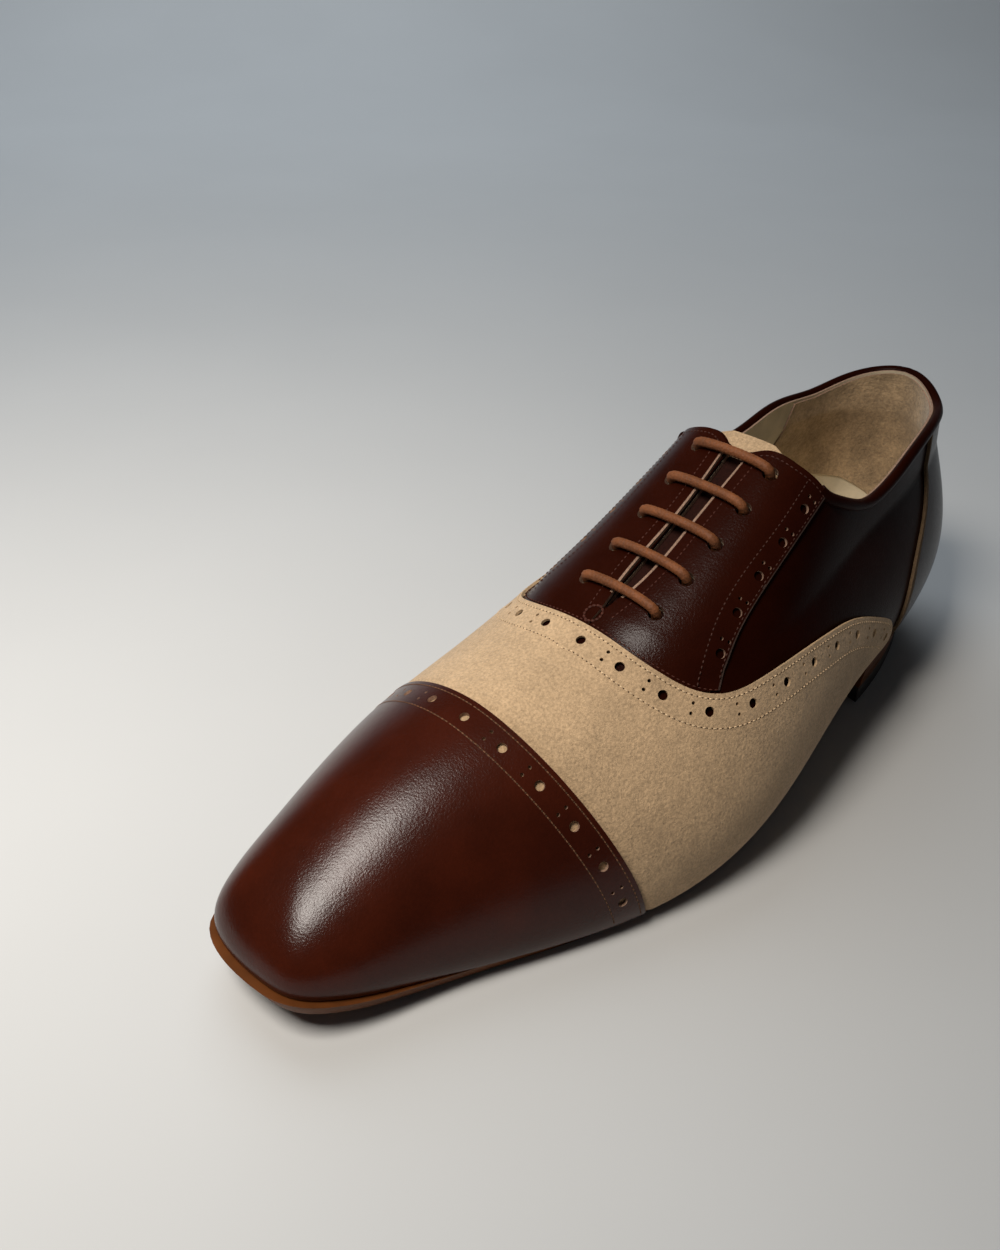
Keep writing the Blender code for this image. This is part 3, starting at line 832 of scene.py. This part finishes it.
class ShoeColours(bpy.types.PropertyGroup):
    """Colours of the finishes."""
    # The facings, quarters, collar and counter use darker copies of this brown as painted shade
    brown: colour("Brown leather", "Cap, facings, quarters and counter", (0.039, 0.0062, 0.0021))
    # Dark edge colour: burnished edges, and painted shade on the tongue in the lacing gap
    dark_edge: colour("Dark edge", "Burnished edges of the brown leather", (0.02, 0.005, 0.003))
    suede: colour("Suede", "Vamp and tongue", (0.495, 0.335, 0.193))
    # Pale edge colour: raw cut edges, and the band by the lacing gap, which is partly a painted highlight
    # along the rounded edge
    pale_edge: colour("Pale edge", "Raw cut edges", (0.29, 0.18, 0.125))
    # Rear band colour: partly the cut edge's tone, partly a painted highlight of the edge catching light
    worn_edge: colour("Worn edge", "Rear edges of the facings", (0.05, 0.03, 0.024))
    frayed_edge: colour("Frayed edge", "Front edge of the counter", (0.13, 0.082, 0.045))
    tan_thread: colour("Tan thread", "Stitches on the cap", (0.15, 0.07, 0.035))
    beige_thread: colour("Beige thread", "Stitches on the vamp", (0.68, 0.49, 0.3))
    # Dark marks at the stitches' ends: painted shade of the needle holes
    needle_hole: colour("Needle holes", "Dark ends of the stitches", (0.07, 0.04, 0.022))
    rose_thread: colour("Rose thread", "Stitches along the facings", (0.062, 0.024, 0.017))
    red_thread: colour("Red thread", "Stitches by the lacing gap", (0.075, 0.024, 0.016))
    lace: colour("Lace", "Waxed lace", (0.17, 0.055, 0.017))
    lining: colour("Lining", "Smooth lining", (0.62, 0.53, 0.38))
    grip: colour("Heel grip", "Napped lining round the heel", (0.46, 0.325, 0.195))
    sock: colour("Sock", "Insole's sock", (0.72, 0.62, 0.44))
    sole: colour("Sole edge", "Sole leather", (0.1, 0.03, 0.0065))
    rubber: colour("Rubber", "Heel's top piece", (0.02, 0.015, 0.012))
    floor: colour("Floor", "Studio paper", (0.51, 0.505, 0.495))


# Stitch and hole lines

def cap_line(side, ahead, count=160):
    """Line across the cap at a distance ahead of its rear edge, from the crest to the sole."""
    rise = np.linspace(1, 0.03, count)
    return s_at(side, cap_station(rise) + ahead), rise


def wing_line(side, inside, count=240):
    """Line along the vamp's wing at a distance inside its edge, from the crest to the rear."""
    rows = path(WING, np.linspace(0, 1, count))
    s, rise = inset(side, s_at(side, rows[:, 0]), np.minimum(rows[:, 1], 1), inside)
    return np.append(s_at(side, WING[0, 0] + inside), s[3:]), np.append(1, rise[3:])


def table_line(side, rows, inside=0.0, count=160):
    """Line through a table of stations and rises."""
    rows = path(rows, np.linspace(0, 1, count))
    s, rise = s_at(side, rows[:, 0]), np.minimum(rows[:, 1], 1)
    return inset(side, s, rise, inside) if inside else (s, rise)


def near_line(points, line):
    """Distance from each point to a line, in millimetres."""
    return np.min(np.linalg.norm(points[:, None] - line[None], axis=-1), axis=1) / MM


def facing_height(side, s, rise):
    """Height of a facing, which dips under the vamp at its front edge."""
    front = skin(side, *table_line(side, FACING_FRONT), FACING_FACE)
    flat = skin(side, s, rise, FACING_FACE)
    return FACING_FACE - FACING_DIP * (1 - ease((near_line(flat, front) - 1.0) / 9))


def vamp_place(side, part, rise):
    """s and rise on the vamp: part 0 at the cap's edge and 1 at the wing's end."""
    crest_share = 0.24
    wing = path(WING, np.clip((part - crest_share) / (1 - crest_share), 0, 1))
    on_crest = np.clip(part / crest_share, 0, 1)
    cap_crest = CAP_FEATHER + CAP_BOW
    crest_station = cap_crest + (WING[0, 0] - cap_crest) * on_crest
    top_station = np.where(part < crest_share, crest_station, wing[:, 0])
    top_rise = np.where(part < crest_share, 1, np.minimum(wing[:, 1], 1))
    low_station = CAP_FEATHER + (WING[-1, 0] - CAP_FEATHER) * part
    bow = (cap_station(rise) - CAP_FEATHER - CAP_BOW * rise) * (1 - part)
    station = low_station + (top_station - low_station) * rise + bow
    return s_at(side, station), top_rise * rise


def upper_place(side, rank, part):
    """s and rise on the wall behind the throat, by rank along the top edge and part of the height."""
    rows = TOP_EDGE[:, [0, 1, 2 if side > 0 else 3]]
    found = spline(np.column_stack([np.arange(len(rows)), rows]), rank)
    low = s_at(side, found[:, 0])
    high = s_at(side, found[:, 1])
    return low + (high - low) * part ** 1.5, np.clip(found[:, 2], 0, 1) * part


def between_edges(u, v):
    """Station and rise on a facing, blended from its four edges."""
    inner, outer = path(FACING_GAP, u), path(FACING_REAR[::-1], u)
    start, end = path(FACING_FRONT[::-1], v), path(FACING_TOP, v)
    u, v = u[:, None], v[:, None]
    corners = ((1 - u) * ((1 - v) * FACING_GAP[0] + v * FACING_REAR[-1])
               + u * ((1 - v) * FACING_GAP[-1] + v * FACING_REAR[0]))
    return (1 - v) * inner + v * outer + (1 - u) * start + u * end - corners


def plan_edge(side, s, margin):
    """Station and x at a margin outside the feather line."""
    small = 0.001
    along = feather(side, s + small) - feather(side, s - small)
    out = np.stack([along[..., 1], -along[..., 0]], -1) * side
    out /= np.linalg.norm(out, axis=-1, keepdims=True)
    return feather(side, s) + out * np.asarray(margin)[..., None]


def sole_margin(side, s):
    """How far the outsole stands out."""
    return spline(SOLE_MARGIN, last_station(side, s))[..., 0 if side > 0 else 1]


def floor_at(station):
    """Feather's height."""
    return spline(FLOOR, station)[..., 0]


def sole_under(station):
    """Outsole's underside, flat on the floor under the ball."""
    return np.maximum(floor_at(station) - SOLE_THICK, 0)


def plate(bm, edge, top, bottom, along, across, hollow=0.0, foot=0.0, bevel=0.3):
    """Solid between two heights, its plan given by an edge on each side."""
    for height, inset_by in ((top, 0.0), (bottom, foot)):
        def place(u, v):
            lateral, medial = edge(1, u, inset_by), edge(-1, u, inset_by)
            flat = lateral + (medial - lateral) * v[:, None]
            flat[:, 0] -= hollow * (1 - u) ** 4 * 4 * v * (1 - v)
            return world(np.column_stack([flat, height(flat[:, 0])]))
        lay(bm, along, across, place)
    bmesh.ops.remove_doubles(bm, verts=bm.verts, dist=WELD)
    bmesh.ops.dissolve_degenerate(bm, edges=bm.edges, dist=WELD)
    rims = [rim for rim in bm.edges if rim.is_boundary]
    bmesh.ops.bridge_loops(bm, edges=rims)
    bmesh.ops.recalc_face_normals(bm, faces=bm.faces)
    bm.normal_update()
    sharp = [rim for rim in bm.edges if len(rim.link_faces) == 2 and rim.calc_face_angle() > 0.6]
    bmesh.ops.bevel(bm, geom=sharp, offset=bevel * MM, affect="EDGES", segments=3, profile=0.5,
                    material=-1, clamp_overlap=True)


# Operators

class SHOE_OT_stage(bpy.types.Operator):
    """Floor, lights and camera."""
    bl_idname = "shoe.stage"
    bl_label = "Stage"

    def execute(self, context):
        scene = context.scene
        scene.view_settings.view_transform = "Standard"
        self.add_floor()
        sky = bpy.data.worlds.new("studio")
        sky.use_nodes = True
        light = sky.node_tree.nodes["Background"].inputs
        light["Color"].default_value = (0.86, 0.93, 1.0, 1)
        light["Strength"].default_value = 0.04
        scene.world = sky
        key = self.add_light(scene, "key", place=(-0.02, -0.42, 0.72), aim=(-0.18, -0.17, 0.0),
                             width=0.26, power=1.95, tone=(1.0, 0.95, 0.88))
        key.data.spread = math.radians(86)
        window = self.add_light(scene, "window", place=(-1.1, 0.5, 1.2), aim=(-0.6, 0.5, 0.0),
                                width=1.5, power=17.0, tone=(0.82, 0.91, 1.0))
        window.visible_glossy = False
        self.add_camera(scene)
        return {"FINISHED"}

    def add_floor(self):
        """Paper that lies flat under the shoe and bends up behind it."""
        away = Vector((-math.sin(VIEW_AZIMUTH), math.cos(VIEW_AZIMUTH), 0))
        sideways = Vector((away.y, -away.x, 0))
        bm = bmesh.new()
        for vert in bmesh.ops.create_grid(bm, x_segments=2, y_segments=80, size=1)["verts"]:
            along = vert.co.y * SWEEP_LENGTH
            bend = max(0.0, along - SWEEP_FLAT) / SWEEP_RADIUS
            turn = min(bend, math.pi / 2)
            back = min(along, SWEEP_FLAT) + SWEEP_RADIUS * math.sin(turn)
            vert.co = sideways * vert.co.x * SWEEP_WIDTH + away * back
            vert.co.z = SWEEP_RADIUS * (1 - math.cos(turn) + bend - turn)
        floor = add_object("floor", bm)
        floor.data.shade_smooth()
        floor.data.materials.append(material("floor_paper"))

    def add_light(self, scene, name, place, aim, width, power, tone):
        """Square soft box that points at a place."""
        lamp = bpy.data.lights.new(name, "AREA")
        lamp.shape = "SQUARE"
        lamp.size = width
        lamp.energy = power
        lamp.color = tone
        thing = bpy.data.objects.new(name, lamp)
        thing.location = place
        thing.rotation_euler = (Vector(aim) - Vector(place)).to_track_quat("-Z", "Y").to_euler()
        scene.collection.objects.link(thing)
        return thing

    def add_camera(self, scene):
        """Camera at the photograph's angle."""
        flat = math.cos(VIEW_ELEVATION)
        back = Vector((math.sin(VIEW_AZIMUTH) * flat, -math.cos(VIEW_AZIMUTH) * flat,
                       math.sin(VIEW_ELEVATION)))
        level = (-back).cross(Vector((0, 0, 1))).normalized()
        upright = level.cross(-back)
        right = level * math.cos(VIEW_ROLL) + upright * math.sin(VIEW_ROLL)
        above = upright * math.cos(VIEW_ROLL) - level * math.sin(VIEW_ROLL)
        lens = bpy.data.cameras.new("camera")
        lens.sensor_fit = "HORIZONTAL"
        lens.sensor_width = SENSOR
        lens.lens = FOCAL_LENGTH
        lens.clip_start = 0.01
        camera = bpy.data.objects.new("camera", lens)
        place = Matrix((right, above, back)).transposed().to_4x4()
        place.translation = (VIEW_TARGET + back * VIEW_DISTANCE) * MM
        camera.matrix_world = place
        scene.collection.objects.link(camera)
        scene.camera = camera


class SHOE_OT_bottom(bpy.types.Operator):
    """Outsole, stacked heel, top piece and sock."""
    bl_idname = "shoe.bottom"
    bl_label = "Sole and heel"

    def execute(self, context):
        def sole_edge(side, s, inset_by):
            return plan_edge(side, s, sole_margin(side, s) - inset_by)

        def heel_edge(side, part, inset_by):
            s = s_at(side, HEEL_BREAST)
            s = s + (1 - s) * part
            return plan_edge(side, s, sole_margin(side, s) - HEEL_INSET - inset_by)

        def sock_edge(side, s, inset_by):
            return plan_edge(side, s, -INSOLE_INSET - inset_by)

        bm = bmesh.new()
        plate(bm, sole_edge, lambda a: floor_at(a) - SEAM_GAP, sole_under, 150, 26,
              foot=SOLE_BEVEL, bevel=0.6)
        make_piece("outsole_leather", bm, ["sole_edge"], ["outsole"])
        bm = bmesh.new()
        plate(bm, sock_edge, lambda a: floor_at(a) + INSOLE_THICK, lambda a: floor_at(a) + INSOLE_LIFT,
              100, 20, bevel=0.5)
        make_piece("sock", bm, ["sock_calf"], ["insole"])
        bm = bmesh.new()
        for i in range(LIFTS):
            share = [i / LIFTS, (i + 1) / LIFTS]
            top, bottom = [lambda a, p=p: (sole_under(a) - SEAM_GAP) * (1 - p) + (HEEL_LIFT + SEAM_GAP) * p
                           for p in share]
            taper = [HEEL_TAPER * p for p in share]
            lift = bmesh.new()
            plate(lift, lambda side, part, inset_by, t=taper[0]: heel_edge(side, part, inset_by + t),
                  top, bottom, 60, 20, hollow=BREAST_HOLLOW, foot=taper[1] - taper[0], bevel=0.25)
            join(bm, lift)
        make_piece("heel_lifts", bm, ["sole_edge"], ["heel_stack"])
        bm = bmesh.new()
        plate(bm, lambda side, part, inset_by: heel_edge(side, part, inset_by + HEEL_TAPER),
              lambda a: 0 * a + HEEL_LIFT, lambda a: 0 * a, 60, 20, hollow=BREAST_HOLLOW, bevel=0.4)
        make_piece("heel_top_rubber", bm, ["matt_rubber"], ["heel_top_piece"])
        return {"FINISHED"}


class SHOE_OT_quarters(bpy.types.Operator):
    """Brown quarters, their lining, the heel grip and the rolled collar."""
    bl_idname = "shoe.quarters"
    bl_label = "Quarters and lining"

    def execute(self, context):
        sizes = context.scene.shoe_sizes
        punches = bmesh.new()
        for side in (1, -1):
            punch_eyelets(punches, side, QUARTER_FACE, 20, 10)
        eyelets = add_object("punches", punches)
        lining_eyelets = eyelets.copy()
        lining_eyelets.data = eyelets.data.copy()
        context.scene.collection.objects.link(lining_eyelets)
        make_piece("quarters_leather", self.wall(QUARTER_FRONT, QUARTER_FACE, 136, 60),
                   ["quarter_polish", "leather_edge", "pale_edge"], ["upper"],
                   sizes.quarter_wall, eyelets)
        make_piece("lining", self.wall(TOE_TIP, LINING_FACE, 119, 44),
                   ["lining_calf", "pale_edge", "pale_edge"], ["upper"],
                   sizes.lining_wall, lining_eyelets)
        make_piece("heel_grip", sheet((60, 44, self.grip)), ["heel_nap", "pale_edge"],
                   ["upper"], GRIP_WALL)
        self.add_collar()
        return {"FINISHED"}

    def wall(self, front, height, columns, rows):
        """Both walls from a front station to the heel, open above the top edge."""
        throat = TOP_EDGE[0, 0]
        near = s_at(1, front) if front < TOE_TIP else 0.0
        far = s_at(1, throat)

        def ahead_of_throat(side, u, v):
            return skin(side, same_stations(side, near + (far - near) * u), v, height)

        def behind_throat(side, u, v):
            return skin(side, *upper_place(side, u * LAST_RANK, v), height)

        return sheet((int((front - throat) / COLUMN_STEP), rows, ahead_of_throat),
                     (columns, rows, behind_throat))

    def grip(self, side, u, v):
        """Points of the napped leather round the heel, inside the lining."""
        edge = s_at(side, spline(GRIP_EDGE, v)[:, 0])
        s = 1 - (1 - edge) * u
        low = np.interp(s, *GRIP_LOW.T)
        level = low + (GRIP_TOP - low) * v
        return skin(side, s, level * collar_rise(side, s), GRIP_FACE)

    def add_collar(self):
        """Roll along the top edge, from one facing round the heel to the other."""
        middle, out = [], []
        for side in (1, -1):
            s, rise = upper_place(side, np.linspace(COLLAR_RANK, LAST_RANK, 150), 1.0)
            points, normals = skin(side, s, rise, COLLAR_FACE), world_normal(side, s, rise)
            middle.append(points if side > 0 else points[-2::-1])
            out.append(normals if side > 0 else normals[-2::-1])
        middle, out = np.concatenate(middle), np.concatenate(out)
        upward = np.cross(out, headings(middle))
        upward *= np.sign(upward[:, 2:3])
        upward /= np.linalg.norm(upward, axis=1, keepdims=True)
        bm = bmesh.new()
        tube(bm, middle - upward * COLLAR_DROP * MM, out, upward, COLLAR_WIDTH * MM, COLLAR_HEIGHT * MM, 18)
        make_piece("collar_roll", bm, ["quarter_polish"], ["upper"])


class SHOE_OT_counter(bpy.types.Operator):
    """Brown counter round the heel."""
    bl_idname = "shoe.counter"
    bl_label = "Heel counter"

    def execute(self, context):
        bm = sheet((56, 60, self.place))
        strip = {edge.link_faces[0] for edge in bm.edges if edge.is_boundary and self.steep(edge)}
        seams = [edge for face in strip for edge in face.edges if self.steep(edge)]
        strip.update(face for edge in seams for face in edge.link_faces)
        for face in strip:
            face.material_index = RIM
        make_piece("counter_leather", bm, ["counter_polish", "frayed_edge"],
                   ["heel_counter"], context.scene.shoe_sizes.facing_wall)
        return {"FINISHED"}

    def place(self, side, u, v):
        """Points of the counter."""
        level = v * COUNTER_TOP
        edge = s_at(side, spline(COUNTER_EDGE, level)[:, 0])
        s = 1 - (1 - edge) * u
        return skin(side, s, level * collar_rise(side, s), COUNTER_FACE)

    def steep(self, edge):
        """Whether an edge runs up the wall."""
        run = edge.verts[0].co - edge.verts[1].co
        return abs(run.normalized().z) > 0.5


class SHOE_OT_vamp(bpy.types.Operator):
    """Beige suede vamp with its punched wings."""
    bl_idname = "shoe.vamp"
    bl_label = "Vamp"

    def execute(self, context):
        sizes = context.scene.shoe_sizes
        punches = bmesh.new()
        for side in (1, -1):
            punch_row(punches, side, *wing_line(side, WING_HOLES), VAMP_FACE, WING_FIRST[side],
                      sizes.punch_pitch / MM, PIN_SPREAD, -side * PIN_LEAD, keep=8)
        make_piece("vamp_suede", sheet((150, 84, self.behind_cap), (9, 84, self.under_cap)),
                   ["vamp_nap", "suede_edge", "suede_edge"], ["vamp"],
                   sizes.suede_wall, add_object("punches", punches))
        return {"FINISHED"}

    def behind_cap(self, side, u, v):
        """Points of the vamp that show, dipping at the cap's edge."""
        s, rise = vamp_place(side, u, v)
        behind = cap_station(rise) - last_station(side, s)
        return skin(side, s, rise, VAMP_FACE - VAMP_TUCK * (1 - ease((behind - 0.2) / 2.4)))

    def under_cap(self, side, u, v):
        """Points of the vamp that the cap covers."""
        s = s_at(side, cap_station(v) + VAMP_LAP * (1 - u))
        return skin(side, s, v, VAMP_FACE - VAMP_TUCK)


class SHOE_OT_toe_cap(bpy.types.Operator):
    """Polished brown cap with its punched band."""
    bl_idname = "shoe.toe_cap"
    bl_label = "Toe cap"

    def execute(self, context):
        sizes = context.scene.shoe_sizes
        punches = bmesh.new()
        for side in (1, -1):
            punch_row(punches, side, *cap_line(side, CAP_HOLES), CAP_FACE, CAP_FIRST[side],
                      sizes.punch_pitch / MM, PIN_SPREAD, -side * PIN_LEAD, keep=6)
        make_piece("cap_leather", sheet((90, 84, self.place)),
                   ["cap_polish", "leather_edge", "pale_edge"], ["toe_cap"],
                   sizes.cap_wall, add_object("punches", punches))
        return {"FINISHED"}

    def place(self, side, u, v):
        """Points of the cap."""
        return skin(side, same_stations(side, u * s_at(1, cap_station(v))), v, CAP_FACE)


class SHOE_OT_facings(bpy.types.Operator):
    """Brown facings with their eyelets and punched bands."""
    bl_idname = "shoe.facings"
    bl_label = "Facings"

    def execute(self, context):
        finishes = ["facing_polish", "pale_edge", "pale_edge", "worn_edge"]
        for side, name in ((1, "lateral"), (-1, "medial")):
            punches = bmesh.new()
            punch_eyelets(punches, side, 0.0, 24, 6)
            punch_row(punches, side, *table_line(side, FACING_HOLES), FACING_FACE, first=8.5,
                      pitch=FACING_PITCH, spread=1.2, lead=-4.0, keep=3)
            piece = make_piece(f"facing_leather_{name}", sheet((84, 60, self.place), sides=(side,)),
                               finishes, [f"facing_{name}"],
                               context.scene.shoe_sizes.facing_wall, add_object("punches", punches))
            self.burnish_and_highlight_edges(piece, side)
        return {"FINISHED"}

    def place(self, side, u, v):
        """Points of a facing."""
        rows = between_edges(u, v)
        s, rise = s_at(side, rows[:, 0]), np.minimum(rows[:, 1], 1)
        return skin(side, s, rise, facing_height(side, s, rise))

    def burnish_and_highlight_edges(self, piece, side):
        """Burnish the top edge, and paint pale bands by the gap and at the rear edge, each partly the cut
        edge's colour and partly painted highlight.
        """
        middles = np.array([face.center for face in piece.data.polygons])
        lines = [table_line(side, rows) for rows in (FACING_TOP, FACING_GAP, FACING_REAR)]
        by_top, by_gap, by_rear = [near_line(middles, skin(side, *line, facing_height(side, *line)))
                                   for line in lines]
        by_gap[middles[:, 1] <= (MID_STATION - GAP_FRONT) * MM] = np.inf
        for i, face in enumerate(piece.data.polygons):
            if face.material_index == RIM and by_top[i] < TOP_BAND:
                face.material_index = FACE
            # Pale band by the gap: partly raw edge, partly a painted highlight along the rounded edge
            elif face.material_index == FACE and by_gap[i] < GAP_HIGHLIGHT_BAND:
                face.material_index = RIM
            # Rear band: partly the cut edge's tone, partly a painted highlight of the edge catching light
            elif face.material_index < HOLE and by_rear[i] < REAR_BAND:
                face.material_index = REAR_HIGHLIGHT


class SHOE_OT_tongue(bpy.types.Operator):
    """Suede tongue under the lacing gap, painted dark below its top as the gap's shade."""
    bl_idname = "shoe.tongue"
    bl_label = "Tongue"

    def execute(self, context):
        finishes = ["vamp_nap", "suede_edge", "leather_edge"]
        bm = sheet((56, 18, self.place))
        # Faces ahead of the tongue's top take the dark edge finish: painted shade of the narrow lacing gap
        for face in bm.faces:
            if face.calc_center_median().y < (MID_STATION - GAP_SHADE_START) * MM:
                face.material_index = finishes.index("leather_edge")
        make_piece("tongue_suede", bm, finishes, ["tongue"],
                   context.scene.shoe_sizes.tongue_wall)
        return {"FINISHED"}

    def place(self, side, u, v):
        """Points of the tongue, its rows closer together at the top."""
        stations = TONGUE[0, 0] + (TONGUE[-1, 0] - TONGUE[0, 0]) * u ** 0.7
        reach = spline(TONGUE[::-1], stations)[:, 0] * (1 - v)
        s = s_at(side, stations)
        rise = np.linspace(0.3, 1, 300)
        points = last_point(side, s[:, None], rise[None])
        across = np.abs(points[..., 1] - points[:, -1:, 1])
        found = np.array([np.interp(-far, -row, rise) for far, row in zip(reach, across)])
        return skin(side, s, found, TONGUE_FACE)


class SHOE_OT_lace(bpy.types.Operator):
    """Waxed lace in straight bars, its ends turned down into the eyelets."""
    bl_idname = "shoe.lace"
    bl_label = "Lace"

    def execute(self, context):
        bm = bmesh.new()
        for row in range(EYELET_ROWS):
            bar = bmesh.new()
            self.add_bar(bar, row, context.scene.shoe_sizes.lace_radius / MM)
            join(bm, bar)
        make_piece("lace", bm, ["lace_cord"],
                   [f"lace_bar_{i + 1}" for i in range(EYELET_ROWS)])
        return {"FINISHED"}

    def add_bar(self, bm, row, radius):
        """One bar from eyelet to eyelet, with a braided surface."""
        lateral, medial = [self.arm(side, row, radius) for side in (1, -1)]
        route = np.array(lateral + medial[::-1])
        along = lengths(route)
        middle = spline(np.column_stack([along, route]), np.linspace(0, along[-1], 150))
        direction = headings(middle)
        sideways = np.cross(direction, (0, 0, 1.0))
        sideways /= np.linalg.norm(sideways, axis=1, keepdims=True)
        twist = along[-1] / MM / BRAID_PITCH * 2 * np.pi

        def braid(u, turn):
            one_way = np.sin(STRANDS * turn + u * twist)
            other_way = np.sin(STRANDS * turn - u * twist)
            return 1 + BRAID_DEPTH * one_way * other_way

        tube(bm, middle, sideways, np.cross(sideways, direction), radius * MM, radius * MM, 24, braid)

    def arm(self, side, row, radius):
        """Half a bar: out of its eyelet, round a bend and over to the crest."""
        line = FACING_FACE + CLEARANCE + radius
        bend = radius * 1.5
        s, rise = eyelet(side, row)
        middle = skin(side, s, rise, line)
        down = -world_normal(side, s, rise)
        inner = skin(side, s, rise + (1 - rise) * 0.3, line) - middle
        inner /= np.linalg.norm(inner)
        points = [middle + down * (bend + LACE_TAIL) * MM]
        for turn in np.radians((0, 30, 60, 90)):
            across = inner * (1 - np.cos(turn)) + down * (1 - np.sin(turn))
            points.append(middle + across * bend * MM)
        return points + [skin(side, s, rise + (1 - rise) * part, line) for part in (0.4, 0.65, 0.9)]


class SHOE_OT_stitching(bpy.types.Operator):
    """Rows of stitches on the cap, the vamp and the facings, and the throat tack."""
    bl_idname = "shoe.stitching"
    bl_label = "Stitching"

    def execute(self, context):
        pitch = context.scene.shoe_sizes.stitch_pitch / MM
        # The dark bmesh gathers flat marks that paint the shade of the needle holes
        tan, beige, rose, red, dark = [bmesh.new() for _ in range(5)]
        for side in (1, -1):
            for ahead in SEAM_ROWS:
                line = (side, *cap_line(side, ahead), CAP_FACE)
                sew(tan, places(*line, pitch / 2, pitch))
                mark_hole_shade(dark, places(*line, pitch, pitch))
            for inside in SEAM_ROWS:
                line = (side, *wing_line(side, inside), VAMP_FACE)
                sew(beige, places(*line, pitch / 2, pitch, WING_KEEP), VAMP_STITCH)
                mark_hole_shade(dark, places(*line, pitch, pitch, WING_KEEP))
            for rows, inside, first, keep in ((FACING_STITCH, 0.0, 1, 0), (FACING_REAR, 1.0, 1, 3),
                                              (FACING_TOP, 1.8, 2, 0)):
                sew(rose, places(side, *table_line(side, rows, inside), FACING_FACE, first, pitch, keep))
            sew(red, places(side, *table_line(side, FACING_GAP, 4.0), FACING_FACE, 8, pitch))
            throat = places(side, *wing_line(side, -1.1), -0.3, pitch, pitch)
            keep = throat[0][:, 1] < (MID_STATION - THROAT_REAR) * MM
            sew(red, [rows[keep] for rows in throat])
        self.tack(red)
        make_piece("stitches_tan", tan, ["tan_thread"], [])
        make_piece("stitches_beige", beige, ["beige_thread"], [])
        make_piece("needle_holes", dark, ["needle_hole"], [])
        make_piece("stitches_rose", rose, ["rose_thread"], [])
        make_piece("stitches_red", red, ["red_thread"], [])
        return {"FINISHED"}

    def tack(self, bm):
        """Ring of stitches that holds the end of the lacing gap at the throat."""
        for turn in np.linspace(0, 2 * np.pi, 15)[:-1]:
            ahead, sideways = math.cos(turn), math.sin(turn)
            across = 2.6 * ahead - 1.4
            side = 1 if across > 0 else -1
            s, rise = beside_crest(side, TACK + 2.4 * sideways, abs(across))
            s, rise = np.array([s]), np.array([rise])
            normal = world_normal(side, s, rise)
            direction = np.array([[-sideways, -ahead, 0]])
            direction = direction - normal * (direction * normal).sum()
            point = skin(side, s, rise, facing_height(side, s, rise))
            sew(bm, (point, direction, normal), TACK_STITCH)


class SHOE_PT_panel(bpy.types.Panel):
    """Buttons that build the shoe piece by piece."""
    bl_idname = "SHOE_PT_panel"
    bl_label = "Spectator shoe"
    bl_space_type = "VIEW_3D"
    bl_region_type = "UI"
    bl_category = "Shoe"

    def draw(self, context):
        for step in STEPS:
            self.layout.operator(step.bl_idname)
        for group in (context.scene.shoe_sizes, context.scene.shoe_colours):
            box = self.layout.box()
            for name in group.__annotations__:
                box.prop(group, name)


STEPS = (SHOE_OT_stage, SHOE_OT_bottom, SHOE_OT_quarters, SHOE_OT_counter, SHOE_OT_vamp,
         SHOE_OT_toe_cap, SHOE_OT_facings, SHOE_OT_tongue, SHOE_OT_lace, SHOE_OT_stitching)
CLASSES = (ShoeSizes, ShoeColours, *STEPS, SHOE_PT_panel)


def register():
    """Add the classes and the shoe's values to Blender."""
    for item in CLASSES:
        bpy.utils.register_class(item)
    bpy.types.Scene.shoe_sizes = PointerProperty(type=ShoeSizes)
    bpy.types.Scene.shoe_colours = PointerProperty(type=ShoeColours)


def unregister():
    """Take them out again."""
    del bpy.types.Scene.shoe_colours
    del bpy.types.Scene.shoe_sizes
    for item in reversed(CLASSES):
        bpy.utils.unregister_class(item)


def main():
    """Register the classes and build every piece."""
    register()
    bpy.ops.shoe.stage()
    bpy.ops.shoe.bottom()
    bpy.ops.shoe.quarters()
    bpy.ops.shoe.counter()
    bpy.ops.shoe.vamp()
    bpy.ops.shoe.toe_cap()
    bpy.ops.shoe.facings()
    bpy.ops.shoe.tongue()
    bpy.ops.shoe.lace()
    bpy.ops.shoe.stitching()


if __name__ == "__main__":
    main()
